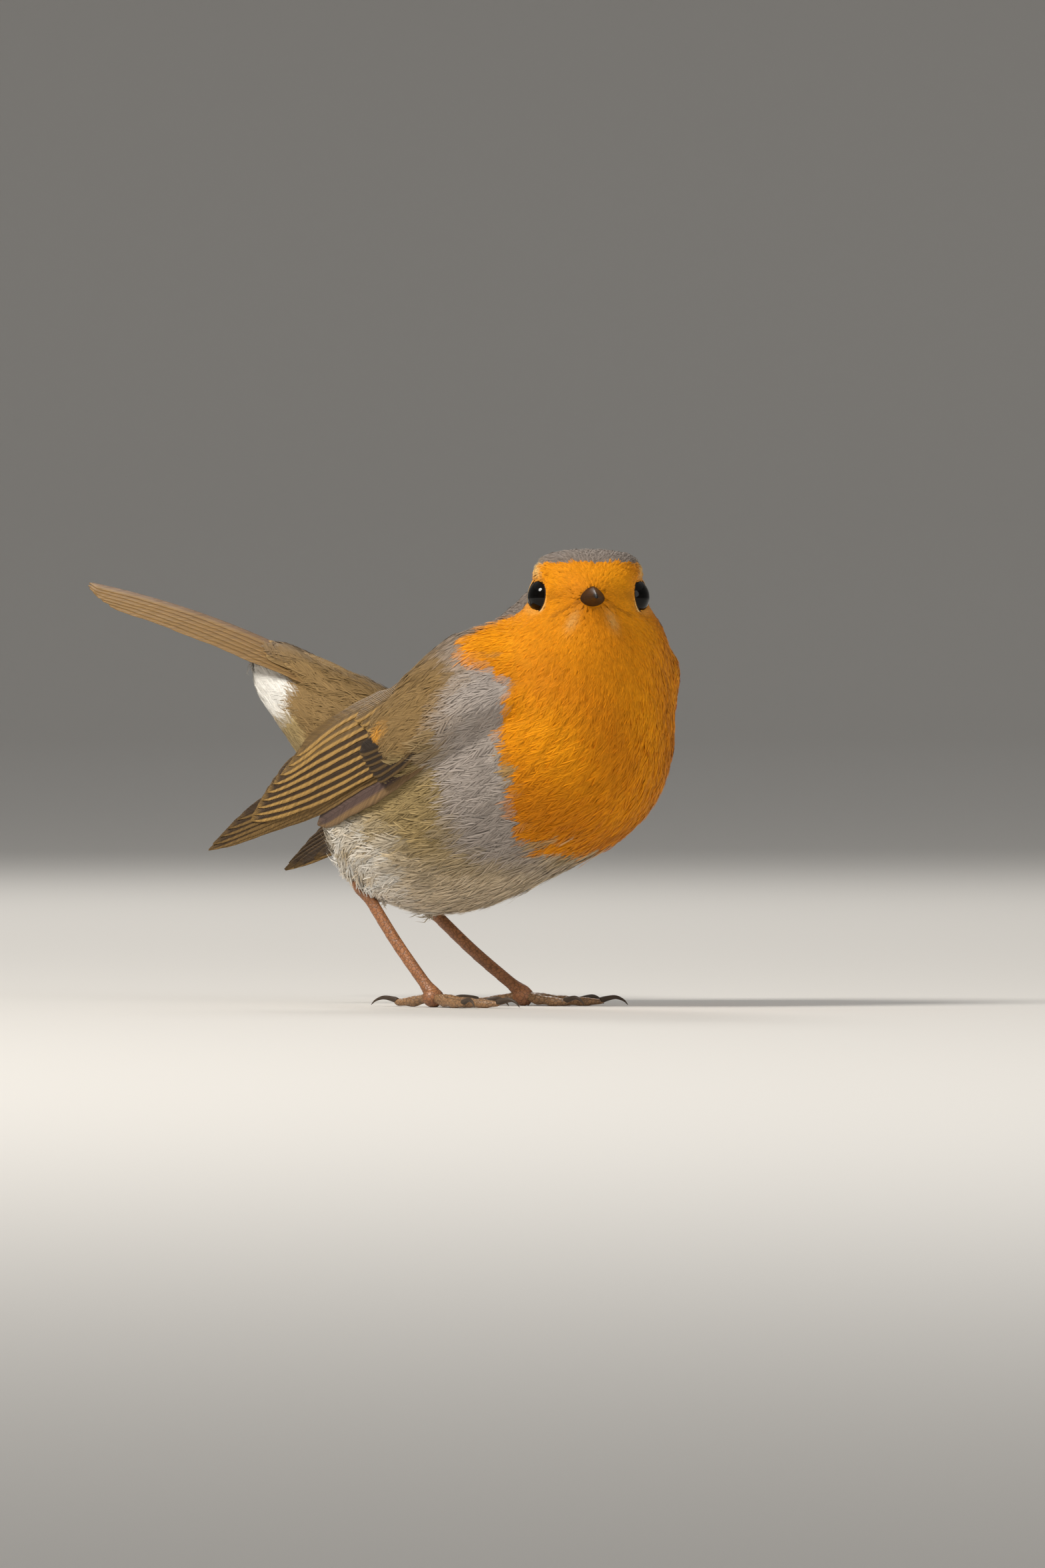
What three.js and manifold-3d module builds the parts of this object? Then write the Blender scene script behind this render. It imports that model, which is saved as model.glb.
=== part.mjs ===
// An adult European robin, life size, standing on both feet with its head turned to its right and its tail cocked.
// Millimetres. +X is the way the trunk heads, +Y the bird's left and +Z up. The feet stand on z = 0.
import * as THREE from "three";
import { mergeVertices } from "three/addons/utils/BufferGeometryUtils.js";
import Module from "manifold-3d";

const wasm = await Module();
wasm.setup();

// ---------------------------------------------------------------- driving dimensions
const GAP = 0.32; // between touching pieces
const WING_LENGTH = 71; // from the wrist to the tip of the longest primary
const TAIL_LENGTH = 56; // from the root of the tail feathers to their tips
const BILL_TIP = 19.6; // from the middle of the eyes to the tip of the bill
const EYE_RADIUS = 3.5;
const EYE_SPREAD = 7.25; // from the head's middle plane to the centre of an eye
const VANE = 0.55; // thickness of a flight feather

const HEAD_AT = new THREE.Vector3(21.5, -3.7, 72.2); // midway between the eyes
const HEAD_YAW = -56;
const HEAD_PITCH = 5;

const BODY_CELL = 4.2;
const HEAD_CELL = 2.85;

const OLIVE_BROWN = { color: 0x7b6a47, roughness: 0.85 };
const ORANGE = { color: 0xe07d0c, roughness: 0.85 };
const BELLY_WHITE = { color: 0xcfc4b4, roughness: 0.9 };
const FEATHER_BROWN = { color: 0x5d4a33, roughness: 0.7 };
const HORN = { color: 0x3a2c25, roughness: 0.4 };
const EYE_BLACK = { color: 0x0b0705, roughness: 0.08 };
const LEG_BROWN = { color: 0x8a5f41, roughness: 0.55 };

const vec = (x, y, z) => new THREE.Vector3(x, y, z);
const rad = THREE.MathUtils.degToRad;
const { lerp, smoothstep, clamp } = THREE.MathUtils;

// ---------------------------------------------------------------- solids
const solidOf = (geometry) => {
  const bare = geometry.clone();
  bare.deleteAttribute("normal");
  bare.deleteAttribute("uv");
  const merged = mergeVertices(bare, 1e-4);
  return new wasm.Manifold(
    new wasm.Mesh({
      numProp: 3,
      vertProperties: merged.attributes.position.array,
      triVerts: new Uint32Array(merged.index.array),
    }),
  );
};

const solidFrom = (positions, indices) =>
  new wasm.Manifold(
    new wasm.Mesh({
      numProp: 3,
      vertProperties: new Float32Array(positions),
      triVerts: new Uint32Array(indices),
    }),
  );

const meshOf = (solid, name, finish) => {
  const { numProp, vertProperties, triVerts } = solid.getMesh();
  const positions = [];
  for (let i = 0; i < vertProperties.length; i += numProp) {
    positions.push(...vertProperties.subarray(i, i + 3));
  }
  const geometry = new THREE.BufferGeometry();
  geometry.setAttribute("position", new THREE.Float32BufferAttribute(positions, 3));
  geometry.setIndex(Array.from(triVerts));
  geometry.computeVertexNormals();
  const mesh = new THREE.Mesh(geometry, new THREE.MeshStandardMaterial(finish));
  mesh.name = name;
  return mesh;
};

// A cut can leave crumbs beside the piece that is wanted: only the largest body stays.
const largest = (solid) =>
  solid.decompose().reduce((best, body) => (body.volume() > best.volume() ? body : best));

const union = (solids) => solids.reduce((all, solid) => all.add(solid));

// Rings of points, each the same length, skinned into one closed solid.
const skin = (rings) => {
  const count = rings[0].length;
  const positions = rings.flat().flatMap((p) => [p.x, p.y, p.z]);
  const indices = [];
  for (let i = 0; i < rings.length - 1; i += 1) {
    for (let j = 0; j < count; j += 1) {
      const a = i * count + j;
      const b = i * count + ((j + 1) % count);
      indices.push(a, b, b + count, a, b + count, a + count);
    }
  }
  const centres = [rings[0], rings.at(-1)].map((ring) => {
    const centre = ring.reduce((sum, p) => sum.add(p), vec(0, 0, 0)).divideScalar(count);
    positions.push(centre.x, centre.y, centre.z);
    return positions.length / 3 - 1;
  });
  const last = (rings.length - 1) * count;
  for (let j = 0; j < count; j += 1) {
    const next = (j + 1) % count;
    indices.push(centres[0], next, j);
    indices.push(centres[1], last + j, last + next);
  }
  const solid = solidFrom(positions, indices);
  if (solid.volume() > 0) return solid;
  return solidFrom(
    positions,
    indices.map((_, i) => indices[i - (i % 3) + 2 - (i % 3)]),
  );
};

// A round limb along a curve. sizes(t) gives the half width and half height of its section.
const limb = (curve, sizes, steps, sides) => {
  const rings = [];
  for (let i = 0; i <= steps; i += 1) {
    const t = i / steps;
    const along = curve.getTangentAt(t);
    const side = vec(0, 0, 1).cross(along);
    if (side.length() < 0.05) side.set(0, 1, 0);
    side.normalize();
    const up = along.clone().cross(side).normalize();
    const [width, height] = sizes(t);
    const ring = [];
    for (let j = 0; j < sides; j += 1) {
      const turn = (2 * Math.PI * j) / sides;
      ring.push(
        curve
          .getPointAt(t)
          .addScaledVector(side, width * Math.cos(turn))
          .addScaledVector(up, height * Math.sin(turn)),
      );
    }
    rings.push(ring);
  }
  return skin(rings);
};

// ---------------------------------------------------------------- the plumage's form
// Each mass is a distance function. A smooth union of them is the outline of the feathered body.
const ellipsoid = (at, radii, pitch = 0, yaw = 0) => {
  const centre = vec(...at);
  const size = vec(...radii);
  const turn = new THREE.Quaternion()
    .setFromEuler(new THREE.Euler(0, rad(-pitch), rad(yaw), "ZYX"))
    .invert();
  const local = vec(0, 0, 0);
  return (p) => {
    local.copy(p).sub(centre).applyQuaternion(turn).divide(size);
    const near = local.length();
    const steep = local.divide(size).length();
    return steep < 1e-9 ? -Math.min(...radii) : (near * (near - 1)) / steep;
  };
};

const taper = (from, fromRadius, to, toRadius, flat = 1) => {
  const start = vec(...from);
  const span = vec(...to).sub(start);
  const local = vec(0, 0, 0);
  return (p) => {
    local.copy(p).sub(start);
    const t = clamp(local.dot(span) / span.lengthSq(), 0, 1);
    local.addScaledVector(span, -t);
    local.y /= flat;
    return local.length() - lerp(fromRadius, toRadius, t);
  };
};

const blended = (masses) => (p) =>
  masses.reduce((sum, [mass, blend]) => {
    const next = mass(p);
    const near = Math.max(blend - Math.abs(sum - next), 0) / blend;
    return Math.min(sum, next) - (near * near * blend) / 4;
  }, 1e3);

const trunkMasses = blended([
  [ellipsoid([1, 0, 42], [31, 21, 21], 37), 1],
  [ellipsoid([15.2, 1, 48], [18, 19.5, 20.5]), 8],
  [ellipsoid([-13, 0, 31.8], [15, 17, 12.2], 10), 8],
  [taper([12, 0.5, 54], 16.8, [20.5, 0, 62], 12.3), 8],
  [ellipsoid([23, 8.5, 59.5], [9.8, 8.5, 6.5], -12, 30), 2.5],
  [taper([-16, 0, 41], 10.5, [-46, 0, 60.4], 3, 0.95), 7],
  [taper([-20, 0, 38], 12, [-44, 0, 56], 3.2, 0.9), 7],
]);

const headMasses = blended([
  [ellipsoid([-2.6, 0, 0.5], [11.2, 8.9, 8.2]), 1],
  [ellipsoid([0.4, 4.6, 3.1], [7.2, 5.1, 5]), 2.5],
  [ellipsoid([0.4, -4.6, 3.1], [7.2, 5.1, 5]), 2.5],
  [ellipsoid([3.6, 0, -0.6], [6.2, 6.2, 5.6]), 3],
  [taper([4, 0, -0.9], 4.6, [9.4, 0, -1.1], 2.1), 3],
  [ellipsoid([-2.5, 5.4, -7], [8.6, 7.2, 6.4]), 3],
  [ellipsoid([-2.5, -5.4, -7], [8.6, 7.2, 6.4]), 3],
  [ellipsoid([1.5, 0, -8.5], [8.6, 9, 7.5]), 4],
]);

const headFrame = new THREE.Matrix4()
  .makeRotationFromEuler(new THREE.Euler(0, rad(-HEAD_PITCH), rad(HEAD_YAW), "ZYX"))
  .setPosition(HEAD_AT);
const toHead = headFrame.clone().invert();
const inHead = (x, y, z) => vec(x, y, z).applyMatrix4(headFrame);

const headPoint = vec(0, 0, 0);
const plumage = blended([
  [trunkMasses, 1],
  [(p) => headMasses(headPoint.copy(p).applyMatrix4(toHead)), 4],
]);

// Surface nets: one vertex for each cell that the surface crosses, pulled onto the surface.
const polygonize = (field, low, high, cell) => {
  const size = [high.x - low.x, high.y - low.y, high.z - low.z].map((d) => Math.ceil(d / cell) + 1);
  const at = (i, j, k) => vec(low.x + i * cell, low.y + j * cell, low.z + k * cell);
  const index = (i, j, k) => (i * size[1] + j) * size[2] + k;
  const value = new Float32Array(size[0] * size[1] * size[2]);
  for (let i = 0; i < size[0]; i += 1) {
    for (let j = 0; j < size[1]; j += 1) {
      for (let k = 0; k < size[2]; k += 1) value[index(i, j, k)] = field(at(i, j, k));
    }
  }
  const vertexOf = new Map();
  const positions = [];
  const steps = [0, 1];
  for (let i = 0; i < size[0] - 1; i += 1) {
    for (let j = 0; j < size[1] - 1; j += 1) {
      for (let k = 0; k < size[2] - 1; k += 1) {
        const inside = steps.flatMap((a) =>
          steps.flatMap((b) => steps.map((c) => value[index(i + a, j + b, k + c)] < 0)),
        );
        if (inside.every((x) => x === inside[0])) continue;
        const p = at(i + 0.5, j + 0.5, k + 0.5);
        pullOnto(field, p, cell);
        vertexOf.set(index(i, j, k), positions.length / 3);
        positions.push(p.x, p.y, p.z);
      }
    }
  }
  const indices = [];
  const around = [
    [[0, 0, 0], [0, -1, 0], [0, -1, -1], [0, 0, -1]],
    [[0, 0, 0], [0, 0, -1], [-1, 0, -1], [-1, 0, 0]],
    [[0, 0, 0], [-1, 0, 0], [-1, -1, 0], [0, -1, 0]],
  ];
  const ahead = [[1, 0, 0], [0, 1, 0], [0, 0, 1]];
  for (let i = 1; i < size[0] - 1; i += 1) {
    for (let j = 1; j < size[1] - 1; j += 1) {
      for (let k = 1; k < size[2] - 1; k += 1) {
        ahead.forEach(([a, b, c], axis) => {
          const here = value[index(i, j, k)] < 0;
          if (here === value[index(i + a, j + b, k + c)] < 0) return;
          const quad = around[axis].map(([x, y, z]) => vertexOf.get(index(i + x, j + y, k + z)));
          if (!here) quad.reverse();
          indices.push(quad[0], quad[1], quad[2], quad[0], quad[2], quad[3]);
        });
      }
    }
  }
  return solidFrom(positions, indices);
};

const pullOnto = (field, p, reach) => {
  const start = p.clone();
  const step = 0.05;
  for (let turn = 0; turn < 4; turn += 1) {
    const here = field(p);
    const slope = vec(
      field(vec(p.x + step, p.y, p.z)) - here,
      field(vec(p.x, p.y + step, p.z)) - here,
      field(vec(p.x, p.y, p.z + step)) - here,
    ).divideScalar(step);
    p.addScaledVector(slope, -here / Math.max(slope.lengthSq(), 0.2));
  }
  p.clamp(start.clone().subScalar(reach * 0.5), start.clone().addScalar(reach * 0.5));
};

const BODY_LOW = vec(-56, -30, 8);
const BODY_HIGH = vec(44, 30, 88);
const grown = (amount) => (p) => plumage(p) - amount;

// ---------------------------------------------------------------- parting the body
// A half space as a big block whose face is the plane through at, on the side that out points away from.
const BLOCK = 300;
const behind = (at, out) => {
  const block = new THREE.BoxGeometry(BLOCK, BLOCK, BLOCK);
  block.translate(0, 0, -BLOCK / 2);
  block.applyQuaternion(new THREE.Quaternion().setFromUnitVectors(vec(0, 0, 1), out.clone().normalize()));
  block.translate(at.x, at.y, at.z);
  return solidOf(block);
};
// Parts a solid at a plane, leaving a gap, and returns the piece that out points into and the rest.
const parted = (solid, at, out) => {
  const half = out.clone().setLength(GAP / 2);
  return [
    largest(solid.subtract(behind(at.clone().add(half), out))),
    largest(solid.intersect(behind(at.clone().sub(half), out))),
  ];
};

const pieces = [];
const add = (name, solid, finish) => pieces.push(meshOf(largest(solid), name, finish));

const NECK_CUT_AT = vec(17, -1.5, 62.5);
const NECK_CUT_OUT = vec(0.42, -0.18, 0.87);

const eyeAt = (side) => inHead(0.4, side * EYE_SPREAD, 0);
const eyeBall = (side, radius, outward = 0) => {
  const ball = new THREE.IcosahedronGeometry(radius, 2);
  const away = inHead(0.38, side, 0.08).sub(HEAD_AT).setLength(outward);
  const centre = eyeAt(side).add(away);
  ball.translate(centre.x, centre.y, centre.z);
  return solidOf(ball);
};

// ---------------------------------------------------------------- bill
const BILL_BASE = 7.5;
const billHalf = (upper) => {
  const rings = [];
  const steps = 9;
  for (let i = 0; i <= steps; i += 1) {
    const t = i / steps;
    const x = lerp(BILL_BASE, upper ? BILL_TIP : BILL_TIP - 0.7, t);
    const droop = -1.0 - 0.6 * t * t;
    const width = 2.5 * (1 - t) ** 0.75 + 0.22;
    const depth = upper ? 2.35 * (1 - t) ** 0.7 + 0.3 : 1.75 * (1 - t) ** 0.8 + 0.15;
    const ring = [];
    for (let j = 0; j <= 6; j += 1) {
      const turn = (Math.PI * j) / 6;
      const lift = (upper ? 1 : -1) * (GAP / 2 + depth * Math.sin(turn) ** 0.9);
      ring.push(inHead(x, width * Math.cos(turn), droop + lift));
    }
    rings.push(ring);
  }
  return skin(rings);
};

// ---------------------------------------------------------------- wings
// A folded wing is laid out flat first: s runs from the wrist to the tip and t from the leading edge up to the back.
const WRIST = new THREE.Vector2(12.5, 57.5);
const WING_FALL = 26; // degrees below level
const FREE_DEPTH = [14.5, 10.5]; // from the middle plane, at the wrist and at the tip

const flankDepth = (x, z) => {
  let low = 0;
  let high = 30;
  const p = vec(x, 0, z);
  if (plumage(p) > 0) return 0;
  while (high - low > 0.02) {
    const middle = (low + high) / 2;
    p.y = middle;
    if (plumage(p) < 0) low = middle;
    else high = middle;
  }
  return low;
};

const wingPoint = (s, t, side, droop) => {
  const fall = rad(WING_FALL + droop);
  const x = WRIST.x - s * Math.cos(fall) - t * Math.sin(fall);
  const z = WRIST.y - s * Math.sin(fall) + t * Math.cos(fall);
  const free = lerp(FREE_DEPTH[0], FREE_DEPTH[1], clamp(s / WING_LENGTH, 0, 1)) - 0.05 * t * t;
  const flank = flankDepth(x, z);
  const near = Math.max(5 - Math.abs(free - flank), 0) / 5;
  return vec(x, side * (Math.max(free, flank) + (near * near * 5) / 4), z);
};

// The same point lifted off the flank, sideways low on the wing and more upwards towards the back.
const wingLifted = (s, t, side, droop, lift) => {
  const lean = rad(clamp(4 * t, 0, 45));
  return wingPoint(s, t, side, droop).add(vec(0, side * Math.cos(lean), Math.sin(lean)).multiplyScalar(lift));
};

// A row of feathers that overlap like shingles, as one solid. base(w) and tip(w) give the two ends of the feather that
// is w across the row, bow(w) how far it curves sideways, and place(s, t, rise) puts a point of the flat layout.
const featherRow = ({ count, steps, base, tip, bow, scallop }, place) => {
  const edges = [
    { across: 0.06, rise: 0.8, short: 0.8 },
    { across: 0.92, rise: 1.25, short: 0.2 },
  ];
  const columns = [];
  for (let k = 0; k < count; k += 1) {
    for (const edge of edges) columns.push({ w: (k + edge.across) / count, ...edge });
  }
  const rings = [];
  for (let i = 0; i <= steps; i += 1) {
    const u = i / steps;
    const points = columns.map(({ w, rise, short }) => {
      const [from, to] = [base(w), tip(w)];
      const span = [to[0] - from[0], to[1] - from[1]];
      const length = Math.hypot(...span);
      const reach = u * (length - short * scallop);
      const bend = bow(w) * Math.sin(Math.PI * u);
      return {
        s: from[0] + (span[0] * reach - span[1] * bend) / length,
        t: from[1] + (span[1] * reach + span[0] * bend) / length,
        rise: rise * VANE,
      };
    });
    const top = points.map((p) => place(p.s, p.t, p.rise));
    const under = points.map((p) => place(p.s, p.t, 0)).reverse();
    rings.push([...top, ...under]);
  }
  return skin(rings);
};

const between = (ends, middle = [0, 0]) => (w) => [
  lerp(ends[0][0], ends[1][0], w) + 4 * w * (1 - w) * middle[0],
  lerp(ends[0][1], ends[1][1], w) + 4 * w * (1 - w) * middle[1],
];

const ROW_LIFT = VANE * 1.25 + 2.6 * GAP;
const WING_ROWS = {
  primaries: {
    row: {
      count: 5,
      steps: 7,
      base: between([[5, -8], [16, 1]]),
      tip: between([[60, -2.4], [57, 2.6]], [12.5, 0.2]),
      bow: (w) => lerp(-0.8, 0, w),
      scallop: 3.5,
    },
    lift: () => 0.5,
    finish: FEATHER_BROWN,
  },
  secondaries: {
    row: {
      count: 5,
      steps: 6,
      base: between([[18, -4.5], [11, 11]]),
      tip: between([[59, -0.6], [44, 9.6]], [1.5, 0]),
      bow: (w) => lerp(-0.8, 3, w),
      scallop: 2.6,
    },
    lift: () => 0.5 + ROW_LIFT,
    finish: FEATHER_BROWN,
  },
  coverts: {
    row: {
      count: 4,
      steps: 5,
      base: between([[-1.5, -5], [2, 6]], [-2, 0]),
      tip: between([[22, -8.6], [34, 11]], [1, 0]),
      bow: (w) => lerp(-2, 2.4, w),
      scallop: 2.4,
    },
    lift: (s) => 0.5 + 2 * ROW_LIFT * smoothstep(s, -3, 6),
    finish: OLIVE_BROWN,
  },
};

const WING_DROOP = { right: 0, left: 3.5 };

// ---------------------------------------------------------------- tail
const TAIL_ROOT = vec(-30, 0, 57);
const TAIL_RISE = [26, 10]; // degrees above level, at the root and at the tip
const ROOF = 0.42; // how steeply the folded tail slopes down to either side
const RECTRICES = 6; // on each side

const tailPoint = (s, y, lift) => {
  const u = s / TAIL_LENGTH;
  const rise = rad(lerp(TAIL_RISE[0], TAIL_RISE[1], u / 2));
  const here = rad(lerp(TAIL_RISE[0], TAIL_RISE[1], u));
  const drop = ROOF * Math.abs(y);
  return vec(
    TAIL_ROOT.x - s * Math.cos(rise) + (lift - drop) * Math.sin(here),
    y,
    TAIL_ROOT.z + s * Math.sin(rise) + (lift - drop) * Math.cos(here),
  );
};

const tailRow = (side) => ({
  count: RECTRICES,
  steps: 6,
  base: between([[0, 0.25], [0, 4.6]]),
  tip: between([[TAIL_LENGTH, 0.25], [TAIL_LENGTH - 5.5, 6.8]]),
  bow: () => 0,
  scallop: 2.2,
});

// ---------------------------------------------------------------- legs
const STANCE = {
  right: { side: -1, foot: vec(-7, -9, 1.75), heel: vec(-22.2, -8, 21.4), heading: -6 },
  left: { side: 1, foot: vec(0.6, 9.5, 1.75), heel: vec(-18.4, 7.5, 18), heading: 20 },
};
const TOES = {
  middle: { turn: 0, length: 14.5, joints: 4, claw: 4.6 },
  inner: { turn: -27, length: 9.8, joints: 3, claw: 4 },
  outer: { turn: 24, length: 11, joints: 3, claw: 4 },
  hallux: { turn: 183, length: 8.6, joints: 2, claw: 5.8 },
};
const TOE_RADIUS = 0.95;
const TOE_ROOT = 1.75; // from the middle of the pad
const PAD_RADIUS = 1.9;
const floorCut = behind(vec(0, 0, 0), vec(0, 0, 1));

// The tarsus with the pad under it, thickened by spare.
const tarsusOf = ({ foot, heel }, spare) => {
  const sizes = (t) => {
    const ends = 0.55 * Math.exp(-((t / 0.09) ** 2)) + 0.4 * Math.exp(-(((1 - t) / 0.08) ** 2));
    return [0.95 + ends + spare, 1.15 + ends + spare];
  };
  const shank = limb(new THREE.LineCurve3(heel, foot), sizes, 6, 8);
  const pad = new THREE.IcosahedronGeometry(PAD_RADIUS + spare, 1);
  pad.translate(foot.x, foot.y, foot.z - 0.1);
  return shank.add(solidOf(pad)).subtract(floorCut);
};

// A point s along a toe from its root, z above the floor.
const alongToe = (stance, turn) => {
  const angle = rad(stance.heading + stance.side * turn);
  const ahead = vec(Math.cos(angle), Math.sin(angle), 0);
  return (s, z) => stance.foot.clone().addScaledVector(ahead, s + TOE_ROOT).setZ(z);
};

const toe = (stance, { turn, length, joints }, spare) => {
  const on = alongToe(stance, turn);
  const curve = new THREE.CatmullRomCurve3([
    on(0, 1.5),
    on(length * 0.3, 1.05),
    on(length * 0.65, 0.75),
    on(length - TOE_ROOT, 0.8),
  ]);
  const sizes = (t) => {
    const swell = 1 + 0.13 * Math.cos(2 * Math.PI * joints * t);
    const girth = TOE_RADIUS * swell * Math.sqrt(Math.max(1 - t ** 8, 0.2));
    return [lerp(1.1, 0.72, t) * girth + spare, lerp(1.2, 0.85, t) * girth + spare];
  };
  return limb(curve, sizes, joints * 2, 6).subtract(floorCut);
};

const clawOf = (stance, { turn, length, claw }) => {
  const on = alongToe(stance, turn);
  const curve = new THREE.QuadraticBezierCurve3(
    on(length - TOE_ROOT + GAP, 0.95),
    on(length - 1.4 + claw * 0.55, 1.9),
    on(length - 2 + claw, 0.22),
  );
  return limb(curve, (t) => [lerp(0.42, 0.09, t), lerp(0.62, 0.12, t)], 4, 5).subtract(floorCut);
};

const leg = (name, stance) => {
  const { foot, heel } = stance;
  const knee = vec(-4, stance.side * 8, 30);
  const bend = heel.clone().lerp(knee, 0.45).add(vec(0, 0, -1));
  const ankle = heel.clone().lerp(foot, 0.06);
  const thigh = (spare) => {
    const end = ankle.clone().addScaledVector(ankle.clone().sub(bend).normalize(), spare);
    const girth = (t) => lerp(6.5, 1.9, t ** 0.8) + 1.5 * spare;
    return limb(new THREE.QuadraticBezierCurve3(knee, bend, end), (t) => [girth(t), girth(t)], 9, 12);
  };
  add(`${name}_thigh`, thigh(0).subtract(bodyGrown), BELLY_WHITE);
  add(`${name}_tarsus`, tarsusOf(stance, 0).subtract(thigh(GAP)).subtract(bodyGrown), LEG_BROWN);
};

// ---------------------------------------------------------------- the pieces
const body = polygonize(plumage, BODY_LOW, BODY_HIGH, BODY_CELL);
const bodyGrown = polygonize(grown(GAP), BODY_LOW, BODY_HIGH, BODY_CELL);

// The head has a finer mesh than the trunk, inside a ball that reaches past the cut at the neck.
const HEAD_BALL = 25;
const headLow = HEAD_AT.clone().subScalar(HEAD_BALL + 3);
const headHigh = HEAD_AT.clone().addScalar(HEAD_BALL + 3);
const headOnly = (field) => (p) => Math.max(field(p), p.distanceTo(HEAD_AT) - HEAD_BALL);
const headBall = polygonize(headOnly(plumage), headLow, headHigh, HEAD_CELL);
const headGrown = polygonize(headOnly(grown(GAP)), headLow, headHigh, HEAD_CELL);

let [head] = parted(headBall, NECK_CUT_AT, NECK_CUT_OUT);
for (const side of [-1, 1]) {
  head = head.subtract(eyeBall(side, EYE_RADIUS + GAP)).subtract(eyeBall(side, EYE_RADIUS - 0.25, 1.5));
  add(side < 0 ? "eye_right" : "eye_left", eyeBall(side, EYE_RADIUS), EYE_BLACK);
}
add("head", head, ORANGE);
add("bill_upper", billHalf(true).subtract(headGrown), HORN);
add("bill_lower", billHalf(false).subtract(headGrown), HORN);

const [, trunk] = parted(body, NECK_CUT_AT, NECK_CUT_OUT);
const [neck, torso] = parted(trunk, vec(14, 0, 54.5), vec(0.45, -0.12, 0.87));
const [rump, middle] = parted(torso, vec(-24, 0, 44), vec(-1, 0, 0.5));
const [breast, rear] = parted(middle, vec(6, 0, 42), vec(1, 0, -0.25));
const [back, belly] = parted(rear, vec(-8, 0, 40), vec(-0.6, 0, 1));
add("neck", neck, ORANGE);
add("breast", breast, ORANGE);
add("back", back, OLIVE_BROWN);
add("belly", belly, BELLY_WHITE);
add("rump", rump, OLIVE_BROWN);

for (const [name, side] of [["right", -1], ["left", 1]]) {
  const droop = WING_DROOP[name];
  for (const [kind, { row, lift, finish }] of Object.entries(WING_ROWS)) {
    const place = (s, t, rise) => wingLifted(s, t, side, droop, lift(s) + rise);
    add(`wing_${name}_${kind}`, featherRow(row, place), finish);
  }
  const onTail = (s, y, rise) => tailPoint(s, side * y, rise);
  add(`tail_${name}`, featherRow(tailRow(side), onTail).subtract(bodyGrown), FEATHER_BROWN);
}

for (const [name, stance] of Object.entries(STANCE)) {
  leg(`leg_${name}`, stance);
  let taken = tarsusOf(stance, GAP);
  for (const [kind, spec] of Object.entries(TOES)) {
    add(`toe_${name}_${kind}`, toe(stance, spec, 0).subtract(taken), LEG_BROWN);
    add(`claw_${name}_${kind}`, clawOf(stance, spec), HORN);
    taken = taken.add(toe(stance, spec, GAP));
  }
}

// The middle of the model's box stands over the origin.
const bird = new THREE.Group();
bird.add(...pieces);
const middleOf = new THREE.Box3().setFromObject(bird).getCenter(vec(0, 0, 0));
bird.position.set(-middleOf.x, -middleOf.y, 0);
const robin = new THREE.Group();
robin.add(bird);

export default robin;
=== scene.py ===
"""An adult European robin, life size, on both feet with its head turned to its right and its tail cocked.

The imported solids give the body's outline. One skin lies inside the solids of flesh, and the feathers
stand on it. Lengths in this file are millimetres in the trunk's own frame until a mesh is made. In that
frame +X is the way the trunk heads, +Y the bird's left and +Z up, and the floor is at zero.
"""

import math

import bmesh
import bpy
import numpy as np
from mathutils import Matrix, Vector
from mathutils.bvhtree import BVHTree


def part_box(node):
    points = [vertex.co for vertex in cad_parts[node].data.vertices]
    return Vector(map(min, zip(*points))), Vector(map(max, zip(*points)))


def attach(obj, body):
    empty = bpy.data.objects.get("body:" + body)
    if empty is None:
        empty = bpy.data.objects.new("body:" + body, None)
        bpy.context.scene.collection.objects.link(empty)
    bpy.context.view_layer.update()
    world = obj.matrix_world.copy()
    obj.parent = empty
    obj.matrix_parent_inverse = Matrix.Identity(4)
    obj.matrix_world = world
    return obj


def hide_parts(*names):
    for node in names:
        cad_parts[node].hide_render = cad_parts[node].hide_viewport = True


bl_info = {
    "name": "European robin",
    "version": (1, 0, 0),
    "blender": (4, 5, 0),
    "location": "View3D > Sidebar > Robin",
    "description": "Dresses a robin's solids in skin, feathers and horn",
    "category": "Object",
}

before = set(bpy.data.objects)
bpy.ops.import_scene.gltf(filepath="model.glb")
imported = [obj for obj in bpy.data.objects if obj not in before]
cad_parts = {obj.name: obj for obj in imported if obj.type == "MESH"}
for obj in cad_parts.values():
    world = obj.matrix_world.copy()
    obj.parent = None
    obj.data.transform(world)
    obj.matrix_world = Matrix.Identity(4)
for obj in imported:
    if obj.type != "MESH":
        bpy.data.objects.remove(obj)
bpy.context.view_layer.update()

MM = 0.001
SEED = 7

# ------------------------------------------------------------------ where the bird is
HEAD_YAW = math.radians(-56)
HEAD_PITCH = math.radians(5)
FORWARD = np.array(
    [
        math.cos(HEAD_PITCH) * math.cos(HEAD_YAW),
        math.cos(HEAD_PITCH) * math.sin(HEAD_YAW),
        math.sin(HEAD_PITCH),
    ]
)
LEFT = np.array([-math.sin(HEAD_YAW), math.cos(HEAD_YAW), 0.0])
UP = np.cross(FORWARD, LEFT)
HEAD_AT = np.array([21.5, -3.7, 72.2])  # midway between the eyes, in the trunk's frame
EYE_AHEAD = 0.4
EYE_SPREAD = 7.25  # from the head's middle plane to the centre of an eye
EYE_RADIUS = 3.5
FRAME_HEIGHT = 276.7  # the camera's frame at the bird
FRAME_CENTRE = (5.2, 39.3)  # across and up from the trunk's origin, as the camera sees it
VIEW_AZIMUTH = math.radians(30)
VIEW_DROP = math.radians(0.6)


def middle_of(node):
    """The middle of a CAD node's box, in millimetres."""
    low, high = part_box(node)
    return (np.array(low) + np.array(high)) / 2 / MM


# The row's origin is under the middle of the whole box, so the eyes say where the trunk's frame lies in it.
SHIFT = (middle_of("eye_right") + middle_of("eye_left")) / 2 - (HEAD_AT + EYE_AHEAD * FORWARD)


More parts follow.
